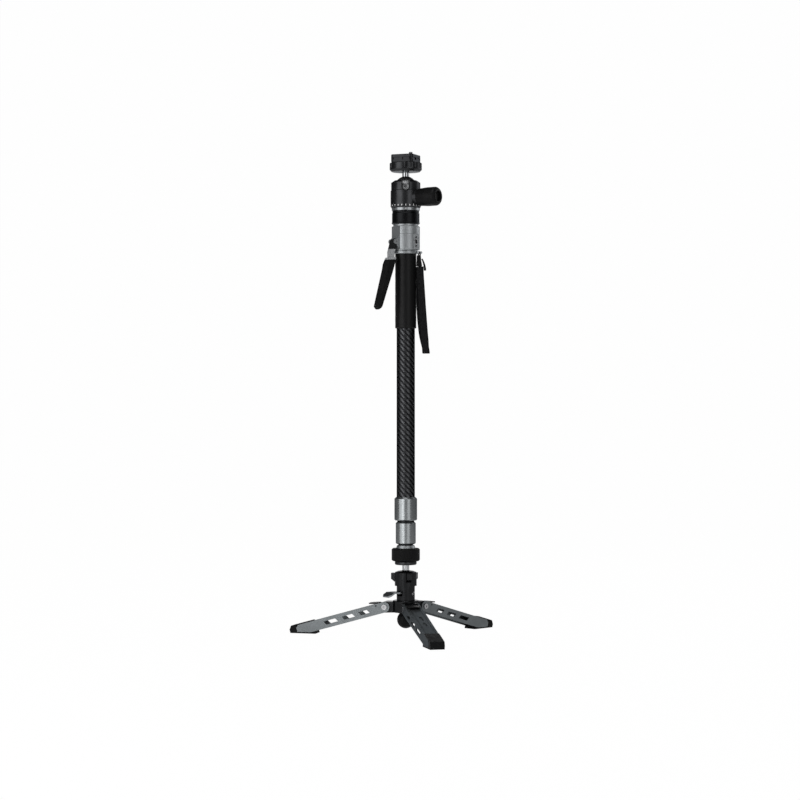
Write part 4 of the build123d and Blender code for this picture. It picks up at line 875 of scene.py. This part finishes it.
class MONOPOD_OT_grip(bpy.types.Operator):
    """Make the foam hand grip with its softened ends"""

    bl_idname = "monopod.grip"
    bl_label = "Foam grip"

    def execute(self, context):
        low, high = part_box("foam_grip")
        outer = (high.x - low.x) / 2
        tube = node_range("tube_1", 0)[1]
        bottom, top = low.z, high.z
        outline = [(tube, top), (tube, bottom)]
        edge, groove = 0.0016, 0.00006
        steps, rows = 6, 60
        for k in range(steps + 1):
            angle = math.pi / 2 * k / steps
            reach = outer - edge + edge * math.sin(angle)
            outline.append((reach, bottom + edge - edge * math.cos(angle)))
        for k in range(1, rows):
            reach = outer - groove * (1 + math.sin(k * 0.7))
            outline.append((reach, bottom + edge + (top - bottom - 2 * edge) * k / rows))
        for k in range(steps + 1):
            angle = math.pi / 2 * k / steps
            reach = outer - edge / 2 + edge / 2 * math.cos(angle)
            outline.append((reach, top - edge / 2 + edge / 2 * math.sin(angle)))
        bm = bmesh.new()
        lathe(bm, outline, 96)
        grip = add_piece("hand_grip", finished_mesh("hand_grip", bm), "section_1", "foam")
        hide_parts("foam_grip")
        return {"FINISHED"}


class MONOPOD_OT_scale(bpy.types.Operator):
    """Print the panning scale round the ball head's foot"""

    bl_idname = "monopod.scale"
    bl_label = "Panning scale"

    def execute(self, context):
        sizes = context.scene.monopod_fitting
        foot = node_range("head_body")[0]
        radius, index_radius, sunk = 0.0243, 0.0224, 0.00012
        bm = bmesh.new()
        for k in range(sizes.mark_count):
            azimuth = 360 / sizes.mark_count * k - 90
            frame_at = facing(azimuth, radius - sunk, foot + 0.0035)
            self.plate(bm, frame_at, sizes.mark_height, sizes.mark_width)
        add_piece("pan_scale", finished_mesh("pan_scale", bm, False), "head", "print")
        bm = bmesh.new()
        self.plate(bm, facing(-90, index_radius - sunk, foot - 0.0023), 0.0024, 0.0007)
        mesh = finished_mesh("pan_index", bm, False)
        add_piece("pan_index", mesh, "section_1", "print")
        return {"FINISHED"}

    def plate(self, bm, frame_at, tall, wide):
        """A thin raised mark. The frame's X runs down and its Y across."""
        half = Vector((tall / 2, wide / 2, 0))
        points = []
        for lift, inset in ((0.0, 0.0), (0.00018, 0.0), (0.00022, 0.00005)):
            x, y = half.x - inset, half.y - inset
            corners = ((-x, -y), (x, -y), (x, y), (-x, y))
            points.append([frame_at @ Vector((a, b, lift)) for a, b in corners])
        skin(bm, points, ends=True)


SET_SCREWS = (
    ("column_set_screw", -40.5, 0.01475, 0.0677, "base", "steel"),
    ("head_set_screw", -147, 0.02435, 0.694, "head", "black_anodised"),
)


class MONOPOD_OT_screws(bpy.types.Operator):
    """Add the threaded camera screw and the small socket screws"""

    bl_idname = "monopod.screws"
    bl_label = "Screws"

    def execute(self, context):
        sizes = context.scene.monopod_fitting
        self.camera_screw(sizes)
        self.insert_ring()
        for name, azimuth, reach, height, body, finish in SET_SCREWS:
            bm = bmesh.new()
            place = facing(azimuth, reach, height)
            socket_screw(bm, place, sizes.set_screw_radius, 0.002, 0.0012)
            add_piece(name, finished_mesh(name, bm, False), body, finish)
        return {"FINISHED"}

    def insert_ring(self):
        """The bright rim of the threaded accessory hole."""
        hole, rim, lip, bevel = 0.0032, 0.0043, 0.0003, 0.00015
        outline = (
            (hole, 0),
            (rim, 0),
            (rim, bevel),
            (0.0041, lip),
            (0.0034, lip),
            (hole, bevel),
        )
        bm = bmesh.new()
        lathe(bm, outline, 48, facing(-40, 0.02165, 0.629826))
        mesh = finished_mesh("accessory_rim", bm)
        add_piece("accessory_rim", mesh, "section_1", "steel")

    def camera_screw(self, sizes):
        """A round head, a plain shank and a helical thread above the plate."""
        low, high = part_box("camera_screw")
        centre = (low + high) / 2
        plate_top = node_range("camera_plate")[1]
        radius, shank, head = 0.003175, 0.0026, (high.x - low.x) / 2
        head_top = low.z + 0.0025
        count = 48
        bm = bmesh.new()
        loops = [
            circle_points(head - 0.0003, low.z, count),
            circle_points(head, low.z + 0.0003, count),
            circle_points(head, head_top - 0.0003, count),
            circle_points(head - 0.0003, head_top, count),
            circle_points(shank, head_top, count),
            circle_points(shank, plate_top + 0.0001, count),
        ]
        pitch = sizes.thread_pitch
        start, end = plate_top + 0.0001, high.z - 0.0008
        rows = round((end - start) / pitch * 8)
        for row in range(rows + 1):
            height = start + (end - start) * row / rows
            loop = []
            for k in range(count):
                phase = ((height - start) / pitch - k / count) % 1.0
                depth = abs(2 * phase - 1)
                angle = TAU * k / count
                fade = min(1.0, row / 4)
                reach = radius - 0.0006 * (1 - depth) * fade
                loop.append((reach * math.cos(angle), reach * math.sin(angle), height))
            loops.append(loop)
        loops.append(circle_points(radius - 0.0008, high.z, count))
        rings = skin(bm, loops)
        bm.faces.new(rings[0])
        bm.faces.new(rings[-1])
        bmesh.ops.translate(bm, vec=(centre.x, centre.y, 0), verts=bm.verts)
        mesh = finished_mesh("camera_screw_thread", bm)
        piece = add_piece("camera_screw_thread", mesh, "screw", "steel")
        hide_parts("camera_screw")


class MONOPOD_OT_stage(bpy.types.Operator):
    """Set the floor, backdrop and soft studio lights"""

    bl_idname = "monopod.stage"
    bl_label = "Studio"

    def execute(self, context):
        tone = context.scene.monopod_studio.floor_tone
        bm = bmesh.new()
        width, front, back, rise, bend = 5.0, -3.3, 9.0, 3.2, 1.2
        line = [(front, 0.0), (back - bend, 0.0)]
        for k in range(1, 13):
            angle = math.pi / 2 * k / 12
            line.append((back - bend + bend * math.sin(angle), bend - bend * math.cos(angle)))
        line.append((back, rise))
        rows = [[bm.verts.new((x, y, z)) for x in (-width, width)] for y, z in line]
        for a, b in zip(rows, rows[1:]):
            bm.faces.new((a[0], a[1], b[1], b[0]))
        self.sheet("studio_backdrop", bm, self.floor_paint("studio_backdrop_paint", tone, 0.99))
        bm = bmesh.new()
        wide, sunk = 18.0, -0.0005
        corners = ((-wide, -wide), (wide, -wide), (wide, wide), (-wide, wide))
        bm.faces.new([bm.verts.new((x, y, sunk)) for x, y in corners])
        self.sheet("studio_floor", bm, self.floor_paint("studio_floor_paint", tone, 0.99))
        self.world(context)
        self.lamps(context)
        context.scene.view_settings.view_transform = "Standard"
        return {"FINISHED"}

    def sheet(self, name, bm, paint):
        """A piece of the stage."""
        mesh = finished_mesh(name, bm)
        made = bpy.data.objects.new(name, mesh)
        bpy.context.scene.collection.objects.link(made)
        mesh.materials.append(paint)

    def floor_paint(self, name, tone, white):
        """Pale paint that shows as white before the camera and fades far out to the sides."""
        recipe = Recipe(name, (tone, tone, tone), 0.9, Specular_IOR_Level=0.1)
        material, tree, shader = recipe.material, recipe.tree, recipe.shader
        glow = tree.nodes.new("ShaderNodeEmission")
        glow.inputs["Color"].default_value = (1, 1, 1, 1)
        split = recipe.node("ShaderNodeSeparateXYZ", Vector=recipe.place()).outputs
        squares = [recipe.math("MULTIPLY", split[k], split[k]) for k in (0, 1)]
        away = recipe.math("SQRT", recipe.math("ADD", *squares))
        half = recipe.math("ADD", recipe.math("MULTIPLY", split[1], 0.2), 0.76)
        aside = recipe.math("ABSOLUTE", split[0])
        beside = recipe.math("DIVIDE", aside, recipe.math("MAXIMUM", half, 0.05))
        round_about = recipe.smooth(away, 0.6, 2.6, 1.0, 0.2)
        before_camera = recipe.smooth(beside, 1.0, 2.4, 1.0, 0.2)
        near = recipe.math("MAXIMUM", round_about, before_camera)
        tree.links.new(near, glow.inputs["Strength"])
        path = tree.nodes.new("ShaderNodeLightPath")
        seen = path.outputs["Is Camera Ray"]
        for kind in ("Is Glossy Ray", "Is Transmission Ray"):
            seen = recipe.math("MAXIMUM", seen, path.outputs[kind])
        share = recipe.math("MULTIPLY", seen, white)
        mix = tree.nodes.new("ShaderNodeMixShader")
        tree.links.new(share, mix.inputs[0])
        tree.links.new(shader.outputs[0], mix.inputs[1])
        tree.links.new(glow.outputs[0], mix.inputs[2])
        tree.links.new(mix.outputs[0], tree.nodes["Material Output"].inputs["Surface"])
        return material

    def world(self, context):
        """A dim even world."""
        world = bpy.data.worlds.new("studio_world")
        world.use_nodes = True
        dim = world.node_tree.nodes["Background"]
        dim.inputs["Color"].default_value = (0.97, 0.98, 1.0, 1)
        dim.inputs["Strength"].default_value = 0.13
        context.scene.world = world

    def lamps(self, context):
        """Two soft boxes in front, strips right and low left, one lamp behind and one above."""
        for name, azimuth, reach, width, tall, height, power in (
            ("box_left", -140, 1.7, 1.3, 1.7, 0.75, 14.6),
            ("box_right", -60, 1.9, 1.0, 1.7, 0.75, 8.2),
            ("strip_right", 29, 1.8, 1.1, 1.1, 1.15, 7.0),
            ("low_left", -116, 1.6, 0.6, 0.45, 0.24, 2.8),
            ("back_high", 83, 1.7, 1.0, 0.6, 1.25, 3.5),
            ("top_soft", -100, 0.9, 1.4, 1.4, 2.4, 18),
        ):
            data = bpy.data.lights.new(name, "AREA")
            data.shape = "RECTANGLE"
            data.size = width
            data.size_y = tall
            data.energy = power
            lamp = bpy.data.objects.new(name, data)
            context.scene.collection.objects.link(lamp)
            lamp.visible_camera = False
            angle = math.radians(azimuth)
            lamp.location = (reach * math.cos(angle), reach * math.sin(angle), height)
            aim = Vector((0, 0, 0.38)) - lamp.location
            lamp.rotation_euler = aim.to_track_quat("-Z", "Y").to_euler()


class MONOPOD_PT_panel(bpy.types.Panel):
    """Buttons and settings for the monopod"""

    bl_idname = "MONOPOD_PT_panel"
    bl_label = "Monopod"
    bl_space_type = "VIEW_3D"
    bl_region_type = "UI"
    bl_category = "Monopod"

    def draw(self, context):
        for operator in OPERATORS:
            self.layout.operator(operator.bl_idname)
        for name in SETTINGS:
            group = getattr(context.scene, name)
            box = self.layout.box()
            for key in group.__annotations__:
                box.prop(group, key)


OPERATORS = (
    MONOPOD_OT_camera,
    MONOPOD_OT_finishes,
    MONOPOD_OT_strap,
    MONOPOD_OT_grip,
    MONOPOD_OT_scale,
    MONOPOD_OT_screws,
    MONOPOD_OT_stage,
)
SETTINGS = {
    "monopod_finish": FinishSettings,
    "monopod_fitting": FittingSettings,
    "monopod_strap": StrapSettings,
    "monopod_studio": StudioSettings,
}
CLASSES = (*SETTINGS.values(), *OPERATORS, MONOPOD_PT_panel)


def register():
    for cls in CLASSES:
        bpy.utils.register_class(cls)
    for name, cls in SETTINGS.items():
        setattr(bpy.types.Scene, name, PointerProperty(type=cls))


def unregister():
    for name in SETTINGS:
        delattr(bpy.types.Scene, name)
    for cls in reversed(CLASSES):
        bpy.utils.unregister_class(cls)


def main():
    register()
    for operator in OPERATORS:
        group, name = operator.bl_idname.split(".")
        getattr(getattr(bpy.ops, group), name)()


if __name__ == "__main__":
    main()
